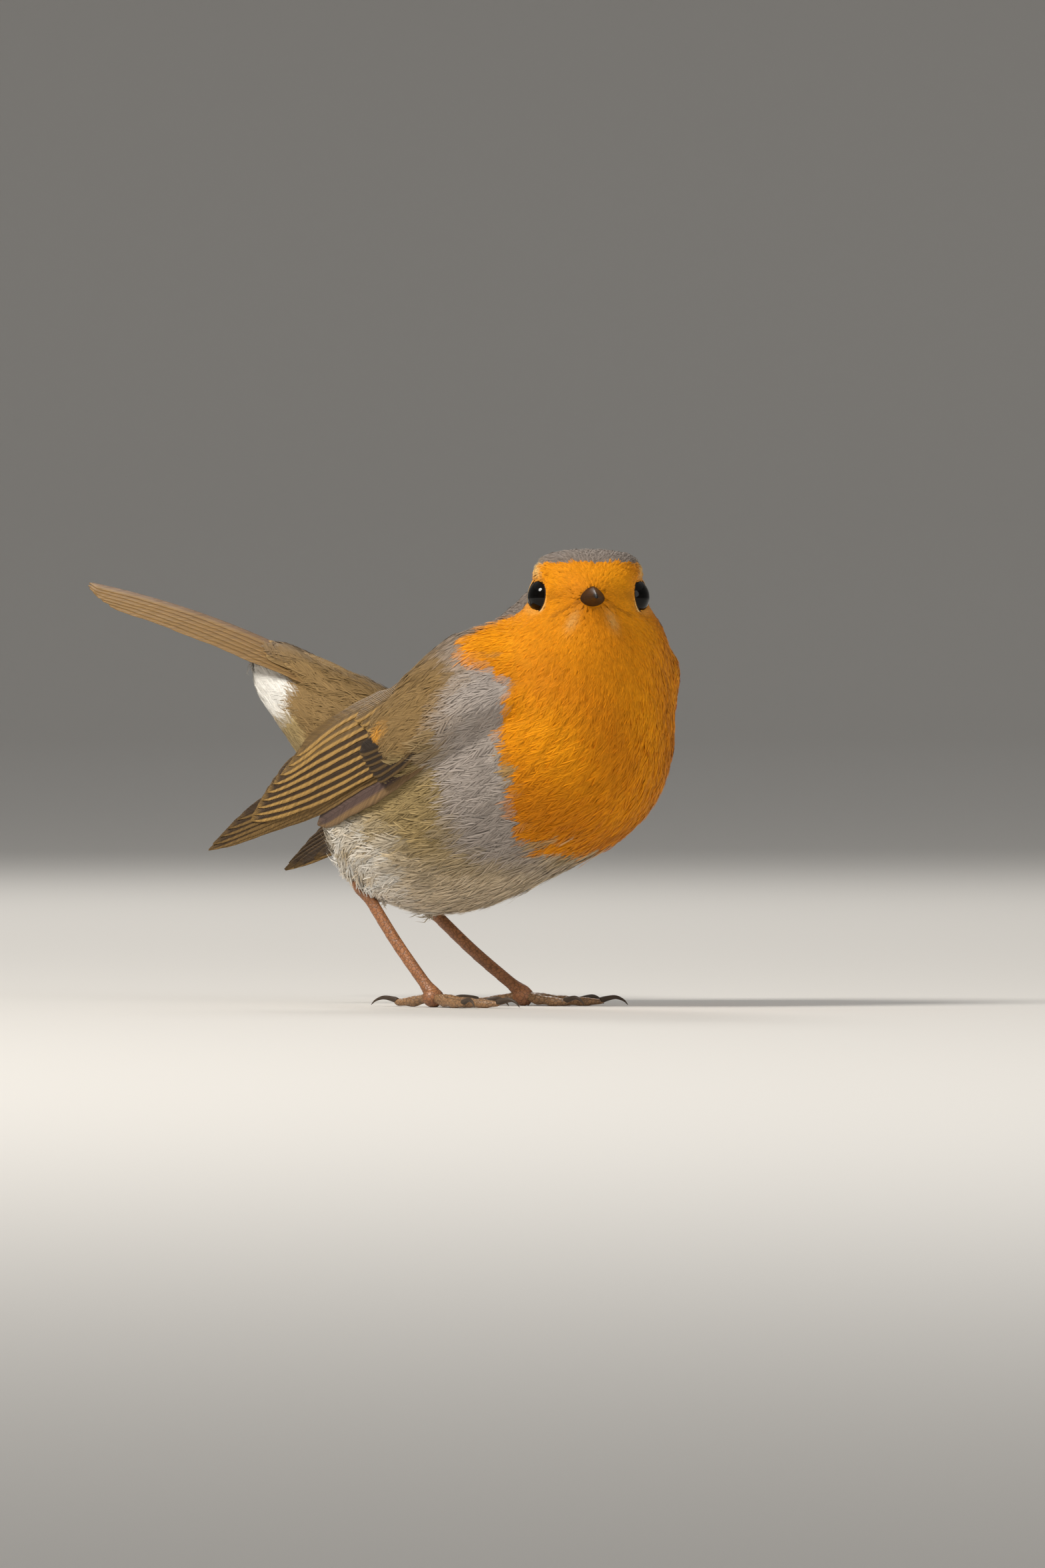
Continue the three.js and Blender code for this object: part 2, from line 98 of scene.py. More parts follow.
def in_head(x, y, z):
    """A point given forward, left and up from between the eyes, in the trunk's frame."""
    return HEAD_AT + x * FORWARD + y * LEFT + z * UP


def from_head(points):
    """Forward, left and up from between the eyes, for points in the trunk's frame."""
    return (points - HEAD_AT) @ np.stack([FORWARD, LEFT, UP], axis=1)


BILL_BASE = in_head(9.0, 0.0, -1.0)


def from_bill(points):
    """Distance to the base of the bill, from which the plumage is laid out."""
    return np.linalg.norm(points - BILL_BASE, axis=1)


def eye_distance(points):
    """Distance to the nearer eye's centre."""
    head = from_head(points)
    return np.minimum(
        np.linalg.norm(head - np.array([EYE_AHEAD, EYE_SPREAD, 0]), axis=1),
        np.linalg.norm(head - np.array([EYE_AHEAD, -EYE_SPREAD, 0]), axis=1),
    )


def linear(hex_colour):
    """An sRGB hex colour as linear red, green and blue."""
    channels = [int(hex_colour[i : i + 2], 16) / 255 for i in (0, 2, 4)]
    return [c / 12.92 if c <= 0.04045 else ((c + 0.055) / 1.055) ** 2.4 for c in channels]


def smooth(value, low, high):
    """0 below low, 1 above high and an even slope between."""
    t = np.clip((value - low) / (high - low), 0.0, 1.0)
    return t * t * (3.0 - 2.0 * t)


def hump(value, middle, width):
    """1 at the middle, and less the further the value is from it."""
    return np.exp(-(((value - middle) / width) ** 2))


def unit(vectors):
    """Vectors of length 1 along the last axis."""
    return vectors / np.maximum(np.linalg.norm(vectors, axis=-1, keepdims=True), 1e-9)


# ------------------------------------------------------------------ what a user would change
def colour(name, description, hex_colour):
    """A colour that a user may change."""
    return bpy.props.FloatVectorProperty(
        name=name,
        description=description,
        subtype="COLOR",
        size=3,
        min=0.0,
        max=1.0,
        default=linear(hex_colour),
    )


def power(name, description, default):
    """A lamp's power that a user may change."""
    return bpy.props.FloatProperty(name=name, description=description, default=default, min=0.0, unit="POWER")


class RobinPlumage(bpy.types.PropertyGroup):
    """Colours and density of the plumage."""

    orange: colour("Orange", "Face, throat and breast", "F09A08")
    deep_orange: colour("Deep orange", "Shaded part of the bib", "B96205")
    crown: colour("Crown", "Crown and nape", "887B70")
    band: colour("Side band", "Blue-grey border between bib and wing", "A89D94")
    olive: colour("Olive brown", "Back, rump and shoulders", "8C7148")
    flank: colour("Flank", "Buff sides under the wing", "A08A5E")
    belly: colour("Belly", "Pale underside", "D0BEA2")
    vent: colour("Vent", "White under the tail", "F0EDE6")
    underfluff: colour("Underfluff", "Slate bases of the body feathers", "5A5047")
    quill: colour("Flight feathers", "Dark inner part of each flight feather", "40301F")
    fringe: colour("Fringe", "Golden edge of each flight feather", "A9854B")
    tertial: colour("Tertials", "Innermost flight feathers", "6B5433")
    primary: colour("Primaries", "Plum-brown outer primaries", "5A4842")
    alula: colour("Alula", "Dark small feathers at the bend of the wing", "2E231A")
    gold: colour("Gold spot", "Tip of the covert over the alula", "DA9A3C")
    tail: colour("Tail", "Tail feathers", "6E543A")
    density: bpy.props.FloatProperty(
        name="Density",
        description="Feathers for each square millimetre, against the usual number",
        default=1.0,
        min=0.1,
        max=1.5,
        subtype="FACTOR",
    )


class RobinBare(bpy.types.PropertyGroup):
    """Colours of what has no feathers."""

    eye: colour("Eye", "Iris and pupil", "0A0604")
    lid: colour("Lid", "Bare rim of the eye", "241A12")
    bill: colour("Bill", "Horn of the bill", "0C0908")
    tarsus: colour("Leg", "Scales of the legs", "A87048")
    toe: colour("Toes", "Scales of the toes", "9C7650")
    claw: colour("Claws", "Horn of the claws", "57493D")


class RobinStage(bpy.types.PropertyGroup):
    """The floor, lights and camera."""

    floor: colour("Floor", "Plain floor", "DAD7D2")
    distance: bpy.props.FloatProperty(
        name="Camera distance",
        description="From the middle of the bird",
        default=3.0,
        min=0.5,
        subtype="DISTANCE",
    )
    key: power("Key light", "Main light's power", 18.0)
    fill: power("Fill light", "Second light's power", 4.0)


# ------------------------------------------------------------------ meshes
def place(points):
    """Points in the trunk's frame as metres in the row's frame."""
    return (np.asarray(points) + SHIFT) * MM


def object_of(mesh, name, replaced=()):
    """Puts a finished mesh in the scene as a piece of the bird."""
    mesh.name = name
    piece = bpy.data.objects.new(name, mesh)
    bpy.context.scene.collection.objects.link(piece)
    if replaced:
        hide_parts(*replaced)
    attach(piece, "root")
    return piece


def mesh_from_arrays(name, points, triangles, normals=None, uvs=None, values=None):
    """A mesh from arrays: many small feathers joined in one piece."""
    mesh = bpy.data.meshes.new(name)
    mesh.vertices.add(len(points))
    mesh.vertices.foreach_set("co", place(points).astype(np.float32).ravel())
    mesh.loops.add(triangles.size)
    mesh.loops.foreach_set("vertex_index", triangles.astype(np.int32).ravel())
    mesh.polygons.add(len(triangles))
    mesh.polygons.foreach_set("loop_start", np.arange(0, triangles.size, 3, dtype=np.int32))
    mesh.update(calc_edges=True)
    mesh.polygons.foreach_set("use_smooth", np.ones(len(triangles), dtype=bool))
    if uvs is not None:
        layer = mesh.uv_layers.new(name="OFBake")
        layer.uv.foreach_set("vector", uvs[triangles.ravel()].astype(np.float32).ravel())
    for key, value in (values or {}).items():
        if value.ndim == 1:
            mesh.attributes.new(key, "FLOAT", "POINT").data.foreach_set("value", value.astype(np.float32))
        else:
            rgba = np.ones((len(value), 4), dtype=np.float32)
            rgba[:, :3] = value
            mesh.attributes.new(key, "FLOAT_COLOR", "POINT").data.foreach_set("color", rgba.ravel())
    if normals is not None:
        layer = mesh.attributes.new("custom_normal", "FLOAT_VECTOR", "POINT")
        layer.data.foreach_set("vector", normals.astype(np.float32).ravel())
    return mesh


def lofted(rings, closed=True):
    """A bmesh skinned over rings of points, by extruding one ring to the next."""
    bm = bmesh.new()
    count = len(rings[0])
    made = bmesh.ops.create_circle(bm, cap_ends=closed, segments=count, radius=1.0)
    ring = list(made["verts"])
    for vert, point in zip(ring, rings[0]):
        vert.co = Vector(place(point))
    for points in rings[1:]:
        edges = [bm.edges.get((ring[i], ring[(i + 1) % count])) for i in range(count)]
        grown = bmesh.ops.extrude_edge_only(bm, edges=edges)["geom"]
        fresh = {g for g in grown if isinstance(g, bmesh.types.BMVert)}
        ring = [next(e.other_vert(v) for e in v.link_edges if e.other_vert(v) in fresh) for v in ring]
        for vert, point in zip(ring, points):
            vert.co = Vector(place(point))
    if closed:
        bmesh.ops.contextual_create(bm, geom=ring)
    bmesh.ops.recalc_face_normals(bm, faces=bm.faces)
    for face in bm.faces:
        face.smooth = True
    return bm


def mesh_of(bm, name):
    """Ends a bmesh as a mesh."""
    mesh = bpy.data.meshes.new(name)
    bm.to_mesh(mesh)
    bm.free()
    return mesh


# ------------------------------------------------------------------ materials
def add(tree, kind, sockets=None, **settings):
    """Adds a node. sockets maps an input's name or number to a value or to another node's output."""
    node = tree.nodes.new(kind)
    for key, value in settings.items():
        setattr(node, key, value)
    for key, value in (sockets or {}).items():
        if isinstance(value, bpy.types.NodeSocket):
            tree.links.new(value, node.inputs[key])
        else:
            node.inputs[key].default_value = value
    return node


def new_material(name):
    """An empty material and its node tree."""
    material = bpy.data.materials.new(name)
    material.use_nodes = True
    material.node_tree.nodes.clear()
    return material, material.node_tree


def finish_material(tree, shader):
    """Joins a shader to the material's output."""
    add(tree, "ShaderNodeOutputMaterial", {"Surface": shader.outputs[0]})


def plumage_material():
    """Keratin barbs of body feathers, grown loose: matt and soft, slate at the roots and paler at the tips.

    A real barb is about 0.02 mm wide, too fine to show, so each ribbon stands for a lock of several barbs.
    """
    _, tree = new_material("feather_keratin_soft")
    hue = add(tree, "ShaderNodeAttribute", attribute_name="plumage").outputs["Color"]
    along = add(tree, "ShaderNodeAttribute", attribute_name="along").outputs["Fac"]
    tone = add(tree, "ShaderNodeAttribute", attribute_name="tone").outputs["Fac"]
    strand = add(tree, "ShaderNodeAttribute", attribute_name="strand").outputs["Fac"]
    root = bpy.context.scene.robin_plumage.underfluff
    depth = add(tree, "ShaderNodeMapRange", {"Value": along, 1: -0.15, 2: 0.3, 3: 0.0, 4: 1.0})
    mixed = add(tree, "ShaderNodeMix", {"Factor": depth.outputs[0]}, data_type="RGBA")
    mixed.inputs[6].default_value = (*root, 1.0)
    tree.links.new(hue, mixed.inputs[7])
    streaks = {"W": strand, "Scale": 2.6, "Detail": 2.0}
    fine = add(tree, "ShaderNodeTexNoise", streaks, noise_dimensions="1D")
    stripes = add(tree, "ShaderNodeMapRange", {"Value": fine.outputs[0], 1: 0.3, 2: 0.7, 3: 0.84, 4: 1.14})
    tip = add(tree, "ShaderNodeMapRange", {"Value": along, 1: 0.7, 2: 1.1, 3: 0.96, 4: 1.1})
    value = add(tree, "ShaderNodeMath", {0: stripes.outputs[0], 1: tone}, operation="MULTIPLY")
    value = add(tree, "ShaderNodeMath", {0: value.outputs[0], 1: tip.outputs[0]}, operation="MULTIPLY")
    toned = add(tree, "ShaderNodeHueSaturation", {"Value": value.outputs[0], "Color": mixed.outputs[2]})
    bump = add(tree, "ShaderNodeBump", {"Strength": 0.35, "Distance": 0.00005, "Height": fine.outputs[0]})
    shader = add(
        tree,
        "ShaderNodeBsdfPrincipled",
        {
            "Base Color": toned.outputs[0],
            "Roughness": 0.68,
            "Specular IOR Level": 0.14,
            "Sheen Weight": 0.05,
            "Sheen Roughness": 0.45,
            "Normal": bump.outputs[0],
        },
    )
    finish_material(tree, shader)


# ------------------------------------------------------------------ skin
FLESH = ("head", "neck", "breast", "back", "belly", "rump", "leg_left_thigh", "leg_right_thigh")
COVERTS = ("wing_left_coverts", "wing_right_coverts")  # the skin's folded arms take their place
SKIN_CELL = 0.75  # the skin's mesh, fine enough for the folds round eyes and bill
SOLID_SPREAD = 0.22  # closes the gaps between the solids before they are made one skin
EYE_SHRINK = 0.1  # keeps the filled sockets inside the eyeballs


def coat_depth(points):
    """How far the skin lies under the tips of the feathers: little on the face, most on the belly."""
    away = from_bill(points)
    depth = np.interp(away, [0, 6, 12, 20, 32, 50, 75], [0.45, 0.6, 0.95, 1.4, 2.0, 2.4, 2.6])
    depth = depth + (1.3 - depth) * smooth(-points[:, 0], 20.0, 30.0)
    return depth * (0.35 + 0.65 * smooth(eye_distance(points), 3.2, 7.0))


def one_skin(parts, relax_turns):
    """Joins closed meshes into one closed surface and relaxes it."""
    joined = bmesh.new()
    for part in parts:
        joined.from_mesh(part)
        bpy.data.meshes.remove(part)
    rough = bpy.data.objects.new("rough", mesh_of(joined, "rough"))
    bpy.context.scene.collection.objects.link(rough)
    remesh = rough.modifiers.new("one skin", "REMESH")
    remesh.mode = "VOXEL"
    remesh.voxel_size = SKIN_CELL * MM
    remesh.use_smooth_shade = True
    relax = rough.modifiers.new("relax", "SMOOTH")
    relax.factor = 0.5
    relax.iterations = relax_turns
    evaluated = rough.evaluated_get(bpy.context.evaluated_depsgraph_get())
    mesh = bpy.data.meshes.new_from_object(evaluated)
    bpy.data.objects.remove(rough)
    return mesh


def points_of(mesh):
    """A mesh's vertices in the trunk's frame and their normals."""
    points, normals = np.empty(len(mesh.vertices) * 3), np.empty(len(mesh.vertices) * 3)
    mesh.vertices.foreach_get("co", points)
    mesh.vertices.foreach_get("normal", normals)
    return points.reshape(-1, 3) / MM - SHIFT, normals.reshape(-1, 3)


def outline_mesh():
    """The plumage's outline: the solids of flesh as one surface, with the eye sockets filled."""
    parts = []
    for node in (*FLESH, "eye_left", "eye_right"):
        part = bmesh.new()
        part.from_mesh(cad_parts[node].data)
        bmesh.ops.remove_doubles(part, verts=part.verts, dist=1e-6)
        part.normal_update()
        spread = (-EYE_SHRINK if node.startswith("eye") else SOLID_SPREAD) * MM
        for vert in part.verts:
            vert.co += vert.normal * spread
        parts.append(mesh_of(part, node))
    return one_skin(parts, 10)


def skin_mesh(outline):
    """One closed skin: the outline sunk by the coat's depth, joined with the folded wings' arms."""
    points, normals = points_of(outline)
    sunk = outline.copy()
    points -= normals * (coat_depth(points) + SOLID_SPREAD * 0.5)[:, None]
    # In front of each eye the face narrows, so that the eye looks past it.
    head = from_head(points)
    reach = smooth(head[:, 0], 0.6, 3.2) * smooth(3.6 - np.abs(head[:, 2] + 0.2), -1.0, 1.6)
    widest = 7.6 - 0.3 * np.maximum(head[:, 0] - 3.5, 0)
    excess = np.maximum(np.abs(head[:, 1]) - widest, 0) * reach
    points -= np.outer(np.sign(head[:, 1]) * excess, LEFT)
    sunk.vertices.foreach_set("co", place(points).ravel())
    return one_skin([sunk, arm_mesh(-1), arm_mesh(1), tail_root_mesh()], 5)


# ------------------------------------------------------------------ folded wings
# A folded wing is laid out flat: s runs from the wrist to the tip, t from the leading edge up to the back.
# A side is -1 for the right of the bird and 1 for its left.
WRIST = (12.5, 57.5)
WING_LENGTH = 71.0
WING_FALL = 26.0  # degrees that the wing's line slopes down to its tip
WING_DROOP = {-1: 0.0, 1: 3.5}
FREE_DEPTH = (14.5, 10.5)  # from the middle plane to the wing at its wrist and at its tip
WING_BLEND = 5.0  # over which the wing leaves the flank
ARM_SPAN = (-6.0, 34.0)
ARM_LOW = -8.0
ARM_HIGH = 17.0
ARM_TOP = 2.4  # how far the arm's skin stands off the flank
ARM_ROOT = -5.0  # how deep its underside lies in the flank
BACK_CLEAR = 2.2  # how far its upper edge stays below the line of the back
FLANK_CELL = 1.0
FLANK_CELLS = (96, 78)
FLANK_LOW = np.array([-66.0, 8.0])
BEYOND = 60.0  # outside the body on either side
flank_depths = {}  # filled by measure_flanks for each side


def measure_flanks(outline):
    """How far the body reaches sideways, on a grid over its side."""
    faces = [list(p.vertices) for p in outline.polygons]
    tree = BVHTree.FromPolygons(points_of(outline)[0].tolist(), faces)
    for side in (-1, 1):
        grid = np.zeros(FLANK_CELLS)
        for i in range(grid.shape[0]):
            for k in range(grid.shape[1]):
                at = Vector((FLANK_LOW[0] + i * FLANK_CELL, side * BEYOND, FLANK_LOW[1] + k * FLANK_CELL))
                hit = tree.ray_cast(at, Vector((0, -side, 0)), BEYOND)[0]
                grid[i, k] = 0.0 if hit is None else abs(hit.y)
        for _ in range(2):
            wide = np.pad(grid, 1, mode="edge")
            grid = (wide[:-2, 1:-1] + wide[2:, 1:-1] + wide[1:-1, :-2] + wide[1:-1, 2:] + 2 * grid) / 6
        flank_depths[side] = grid


def flank(x, z, side):
    """How far the body reaches sideways at each x and z."""
    grid = flank_depths[side]
    u = np.clip((x - FLANK_LOW[0]) / FLANK_CELL, 0, grid.shape[0] - 1.001)
    v = np.clip((z - FLANK_LOW[1]) / FLANK_CELL, 0, grid.shape[1] - 1.001)
    i, k = u.astype(int), v.astype(int)
    a, b = u - i, v - k
    lower = grid[i, k] * (1 - a) * (1 - b) + grid[i + 1, k] * a * (1 - b)
    return lower + grid[i, k + 1] * (1 - a) * b + grid[i + 1, k + 1] * a * b


def on_wing(s, t, lift, side):
    """A point of the flat layout, lifted off the flank: sideways low on the wing, and up near the back."""
    fall = math.radians(WING_FALL + WING_DROOP[side])
    x = WRIST[0] - s * math.cos(fall) - t * math.sin(fall)
    z = WRIST[1] - s * math.sin(fall) + t * math.cos(fall)
    taper = np.clip(s / WING_LENGTH, 0, 1)
    free = FREE_DEPTH[0] + (FREE_DEPTH[1] - FREE_DEPTH[0]) * taper - 0.05 * t * t
    body = flank(x, z, side)
    near = np.maximum(WING_BLEND - np.abs(free - body), 0) / WING_BLEND
    lean = np.radians(np.clip(4 * t, 0, 45))
    y = np.maximum(free, body) + near**2 * WING_BLEND / 4
    return np.stack([x, side * (y + lift * np.cos(lean)), z + lift * np.sin(lean)], axis=-1)


def off_wing(points):
    """The flat layout's s and t of points of either side."""
    fall = np.radians(WING_FALL + np.where(points[:, 1] < 0, WING_DROOP[-1], WING_DROOP[1]))
    back, down = WRIST[0] - points[:, 0], WRIST[1] - points[:, 2]
    return back * np.cos(fall) + down * np.sin(fall), back * np.sin(fall) - down * np.cos(fall)


def back_line(x, side):
    """How high the back is above each x."""
    heights = FLANK_LOW[1] + FLANK_CELL * np.arange(flank_depths[side].shape[1])
    ridge = np.where(flank_depths[side] > 2.0, heights, 0.0).max(axis=1)
    return np.interp(x, FLANK_LOW[0] + FLANK_CELL * np.arange(len(ridge)), ridge)


def arm_mesh(side):
    """The folded wing's upper arm and forearm as a low mound that reaches into the body."""
    bm = bmesh.new()
    bmesh.ops.create_grid(bm, x_segments=40, y_segments=26, size=1.0)
    top = list(bm.verts)
    grown = bmesh.ops.extrude_face_region(bm, geom=list(bm.faces))["geom"]
    under = [g for g in grown if isinstance(g, bmesh.types.BMVert)]
    fall = math.radians(WING_FALL + WING_DROOP[side])
    for verts, sunk in ((top, False), (under, True)):
        flat = np.array([v.co[:2] for v in verts])
        s = (ARM_SPAN[0] + ARM_SPAN[1]) / 2 + (ARM_SPAN[1] - ARM_SPAN[0]) / 2 * flat[:, 0]
        x = WRIST[0] - s * math.cos(fall) + ARM_LOW * math.sin(fall)
        room = back_line(x, side) - BACK_CLEAR - WRIST[1] + s * math.sin(fall)
        edge = np.minimum(room / math.cos(fall), ARM_HIGH)
        t = ARM_LOW + (edge - ARM_LOW) * (flat[:, 1] + 1) / 2
        inside = np.minimum(smooth(s, -5.0, 6.0), smooth(29.0 + 0.4 * t - s, -3.0, 4.0))
        inside = np.minimum(inside, smooth(t, -7.0, -2.0 - 0.05 * s))
        inside = np.minimum(inside, smooth(edge - t, 0.0, 4.5))
        lift = np.full(len(s), ARM_ROOT) if sunk else -2.0 + (2.0 + ARM_TOP) * inside
        for vert, point in zip(verts, place(on_wing(s, t, lift, side))):
            vert.co = Vector(point)
    bmesh.ops.recalc_face_normals(bm, faces=bm.faces)
    return mesh_of(bm, "arm")


def unwrap(piece):
    """Gives a piece its own unwrap, named OFBake."""
    bpy.context.view_layer.objects.active = piece
    piece.select_set(True)
    piece.data.uv_layers.new(name="OFBake")
    bpy.ops.object.mode_set(mode="EDIT")
    bpy.ops.mesh.select_all(action="SELECT")
    bpy.ops.uv.smart_project(angle_limit=math.radians(66), island_margin=0.002)
    bpy.ops.object.mode_set(mode="OBJECT")
    piece.select_set(False)


class Surface:
    """A skin that feathers root in: its faces, its outward normals and its unwrap."""

    def __init__(self, mesh):
        self.points, self.normals = points_of(mesh)
        mesh.calc_loop_triangles()
        faces = np.empty(len(mesh.loop_triangles) * 3, dtype=np.int32)
        mesh.loop_triangles.foreach_get("vertices", faces)
        self.faces = faces.reshape(-1, 3)
        loops = np.empty(len(mesh.loop_triangles) * 3, dtype=np.int32)
        mesh.loop_triangles.foreach_get("loops", loops)
        uv = np.empty(len(mesh.loops) * 2)
        mesh.uv_layers["OFBake"].uv.foreach_get("vector", uv)
        self.uv = uv.reshape(-1, 2)[loops.reshape(-1, 3)].mean(axis=1)
        a, b, c = (self.points[self.faces[:, i]] for i in range(3))
        cross = np.cross(b - a, c - a)
        self.areas = np.linalg.norm(cross, axis=1) / 2
        self.centres = (a + b + c) / 3
        self.tree = BVHTree.FromPolygons(self.points.tolist(), self.faces.tolist())

    def snap(self, points):
        """The nearest points of the surface, the smooth normals there and the faces hit."""
        found = [self.tree.find_nearest(p) for p in points.tolist()]
        at = np.array([f[0] for f in found])
        index = np.array([f[2] for f in found])
        tri = self.points[self.faces[index]]
        weights = barycentric(at, tri)
        normals = (self.normals[self.faces[index]] * weights[:, :, None]).sum(axis=1)
        normals /= np.linalg.norm(normals, axis=1, keepdims=True)
        return at, normals, index


def barycentric(points, triangles):
    """Weights of each triangle's corners at a point in it."""
    a, b, c = triangles[:, 0], triangles[:, 1], triangles[:, 2]
    ab, ac, ap = b - a, c - a, points - a
    d00, d01, d11 = (ab * ab).sum(1), (ab * ac).sum(1), (ac * ac).sum(1)
    d20, d21 = (ap * ab).sum(1), (ap * ac).sum(1)
    under = np.maximum(d00 * d11 - d01 * d01, 1e-12)
    v = (d11 * d20 - d01 * d21) / under
    w = (d00 * d21 - d01 * d20) / under
    return np.clip(np.stack([1 - v - w, v, w], axis=1), 0.0, 1.0)


# ------------------------------------------------------------------ lie of the feathers
# Middle of a stretch of the bird, the way its feathers point and how far it holds sway.
LIE = (
    (in_head(-5.0, 0.0, 1.0), -0.8 * FORWARD - 0.35 * UP, 11.0),
    (np.array([15.0, -1.0, 61.0]), np.array([-0.45, 0.0, -0.85]), 13.0),
    (np.array([4.0, 0.0, 45.0]), np.array([-0.93, 0.0, -0.32]), 17.0),
    (np.array([-14.0, 0.0, 39.0]), np.array([-1.0, 0.0, -0.08]), 14.0),
    (np.array([-30.0, 0.0, 50.0]), np.array([-0.92, 0.0, 0.4]), 12.0),
    (np.array([-32.0, 0.0, 36.0]), np.array([0.0, 0.0, 1.5]), 9.0),
    (np.array([-4.0, -15.0, 56.0]), np.array([-0.9, 0.0, -0.44]), 12.0),
    (np.array([-4.0, 15.0, 56.0]), np.array([-0.87, 0.0, -0.49]), 12.0),
    (np.array([-20.0, -8.0, 24.0]), np.array([-1.2, 0.0, -1.9]), 5.0),
    (np.array([-15.0, 8.0, 22.0]), np.array([-1.2, 0.0, -1.9]), 5.0),
)


def pull(points):
    """The way feathers would point at each place if no skin were in their way."""
    away = points - BILL_BASE
    reach = np.linalg.norm(away, axis=1, keepdims=True)
    total = away / np.maximum(reach, 1e-6) * hump(reach, 0.0, 12.0) * 2.0
    for centre, way, sway in LIE:
        total = total + way * hump(np.linalg.norm(points - centre, axis=1, keepdims=True), 0.0, sway)
    return total


def lie(points, normals):
    """Unit vectors along the skin, the way the feathers lie."""
    total = pull(points)
    return unit(total - normals * (total * normals).sum(axis=1, keepdims=True))


def wander(points, scale, seed):
    """Smooth noise of about unit size, from a few waves that cross at random angles."""
    rng = np.random.default_rng(seed)
    total = np.zeros(len(points))
    for _ in range(6):
        way = rng.normal(size=3)
        way *= 2 * math.pi / (scale * np.linalg.norm(way)) * rng.uniform(0.7, 1.5)
        total += np.sin(points @ way + rng.uniform(0, 6.28))
    return total / 2.45


# ------------------------------------------------------------------ markings
# Small marks of the face, less strong than these colours because they are blended in.
LORE_BROWN = "5A2C08"
BROW_CREAM = "F2CD84"
EYE_RING_BUFF = "EFC077"
EYE_RING_PALE = "FBDC95"


def bib_edge(z):
    """How far forward the bib begins on the side of the breast."""
    return np.interp(z, [20, 30, 39, 47, 53, 57, 60, 63], [16, 13, 15, 13.5, 14.5, 14.5, 10, 5])


def ragged_edge(points):
    """How far feather tips carry a colour over its border, in millimetres."""
    return wander(points, 7.0, 3) * 0.9


def blend(colours, hue, amount):
    """Colours moved towards a hue by an amount at each point."""
    return colours + (np.array(hue) - colours) * amount[:, None]


def back_and_belly(points, tint):
    """Olive above with a greyer crown, buff flanks that pale to the belly, and white under the tail."""
    x, y, z = points.T
    colours = np.array(tint.olive) + np.outer(smooth(z, 58.0, 69.0), np.subtract(tint.crown, tint.olive))
    under_line = np.interp(x, [-45, -36, -25, -10, 5, 14], [55, 51, 40, 43, 49, 53])
    under = smooth(under_line + ragged_edge(points) * 1.2 - z, -1.2, 1.8)
    low = smooth(29.0 + ragged_edge(points) * 2 - z - 0.3 * np.maximum(np.abs(y) - 8, 0), -6.0, 6.0)
    side = np.array(tint.flank) + np.outer(low, np.subtract(tint.belly, tint.flank))
    side = side * (1 + 0.1 * wander(points, 3.5, 13))[:, None]
    colours += (side - colours) * under[:, None]
    tail_line = 55.5 - 0.42 * (34.0 + x)
    white = smooth(-x, 36.0, 39.0) * smooth(z, 48.0, 52.0) * smooth(tail_line - z, -1.0, 1.0)
    fluff = smooth(-x, 5.0, 15.0) * smooth(33.0 - z, -3.0, 4.0) * (0.6 + 0.4 * wander(points, 4.0, 11))
    return blend(colours, tint.vent, np.clip(white + 0.95 * fluff, 0, 1))


def bib_and_band(points, colours, tint):
    """The orange bib, by the trunk below the neck and by the head above it, with a grey band behind it."""
    head, ragged = from_head(points), ragged_edge(points)
    x, y, z = points.T
    left = smooth(y, 1.0, 7.0) * smooth(z, 44.0, 54.0) * smooth(x, 8.0, 15.0)
    edge = bib_edge(z) - 3.5 * left
    behind = edge - x + ragged
    width = np.interp(z, [24, 32, 44, 56, 64], [4, 11, 13, 8, 4])
    in_band = smooth(behind, -1.5, 0.5) * smooth(width - behind, -3.5, 3.5)
    in_band = in_band * smooth(z, 24.0, 30.0) * smooth(66.0 - z, 0.0, 6.0)
    colours = blend(colours, tint.band, in_band)
    trunk_bib = smooth(x - edge + ragged, -0.8, 0.8)
    bottom = 30.5 + np.interp(np.abs(y), [0, 8, 16], [-2.0, 0.0, 3.0]) + wander(points, 6.0, 9) * 1.8
    trunk_bib *= smooth(z - bottom, -0.9, 0.9)
    face_edge = np.interp(
        head[:, 2],
        [-16, -11, -8, -5, -1, 2, 4.2, 5.1, 5.5],
        [2, 0, -3.2, -2.6, -2.2, -2.0, -1.0, 3.5, 9],
    )
    # On the side the head is turned to, the shoulder's feathers cover the bib's corner.
    corner = smooth(15.0 - x, 0.0, 4.0) * smooth(-y, 3.0, 7.0) * smooth(-head[:, 2], 4.0, 8.0)
    face_edge += 3.4 * corner - 4.5 * left * smooth(-head[:, 2], 5.0, 9.0)
    head_bib = smooth(head[:, 0] - face_edge + ragged * 0.4, -0.5, 0.5)
    on_head = smooth(z - 5.0 * left, 58.0, 62.0)
    bib = trunk_bib * (1 - on_head) + head_bib * on_head
    # Painted shade: the bib is mixed towards deep orange a little everywhere, more in broad patches and more
    # towards its bottom.
    depth = 0.35 + 0.3 * wander(points, 16.0, 5) + 0.3 * smooth(42 - z, -10, 12)
    depth = np.clip(depth, 0, 1) * 0.6
    shaded = np.array(tint.orange) + np.outer(depth, np.subtract(tint.deep_orange, tint.orange))
    return colours + (shaded - colours) * bib[:, None]


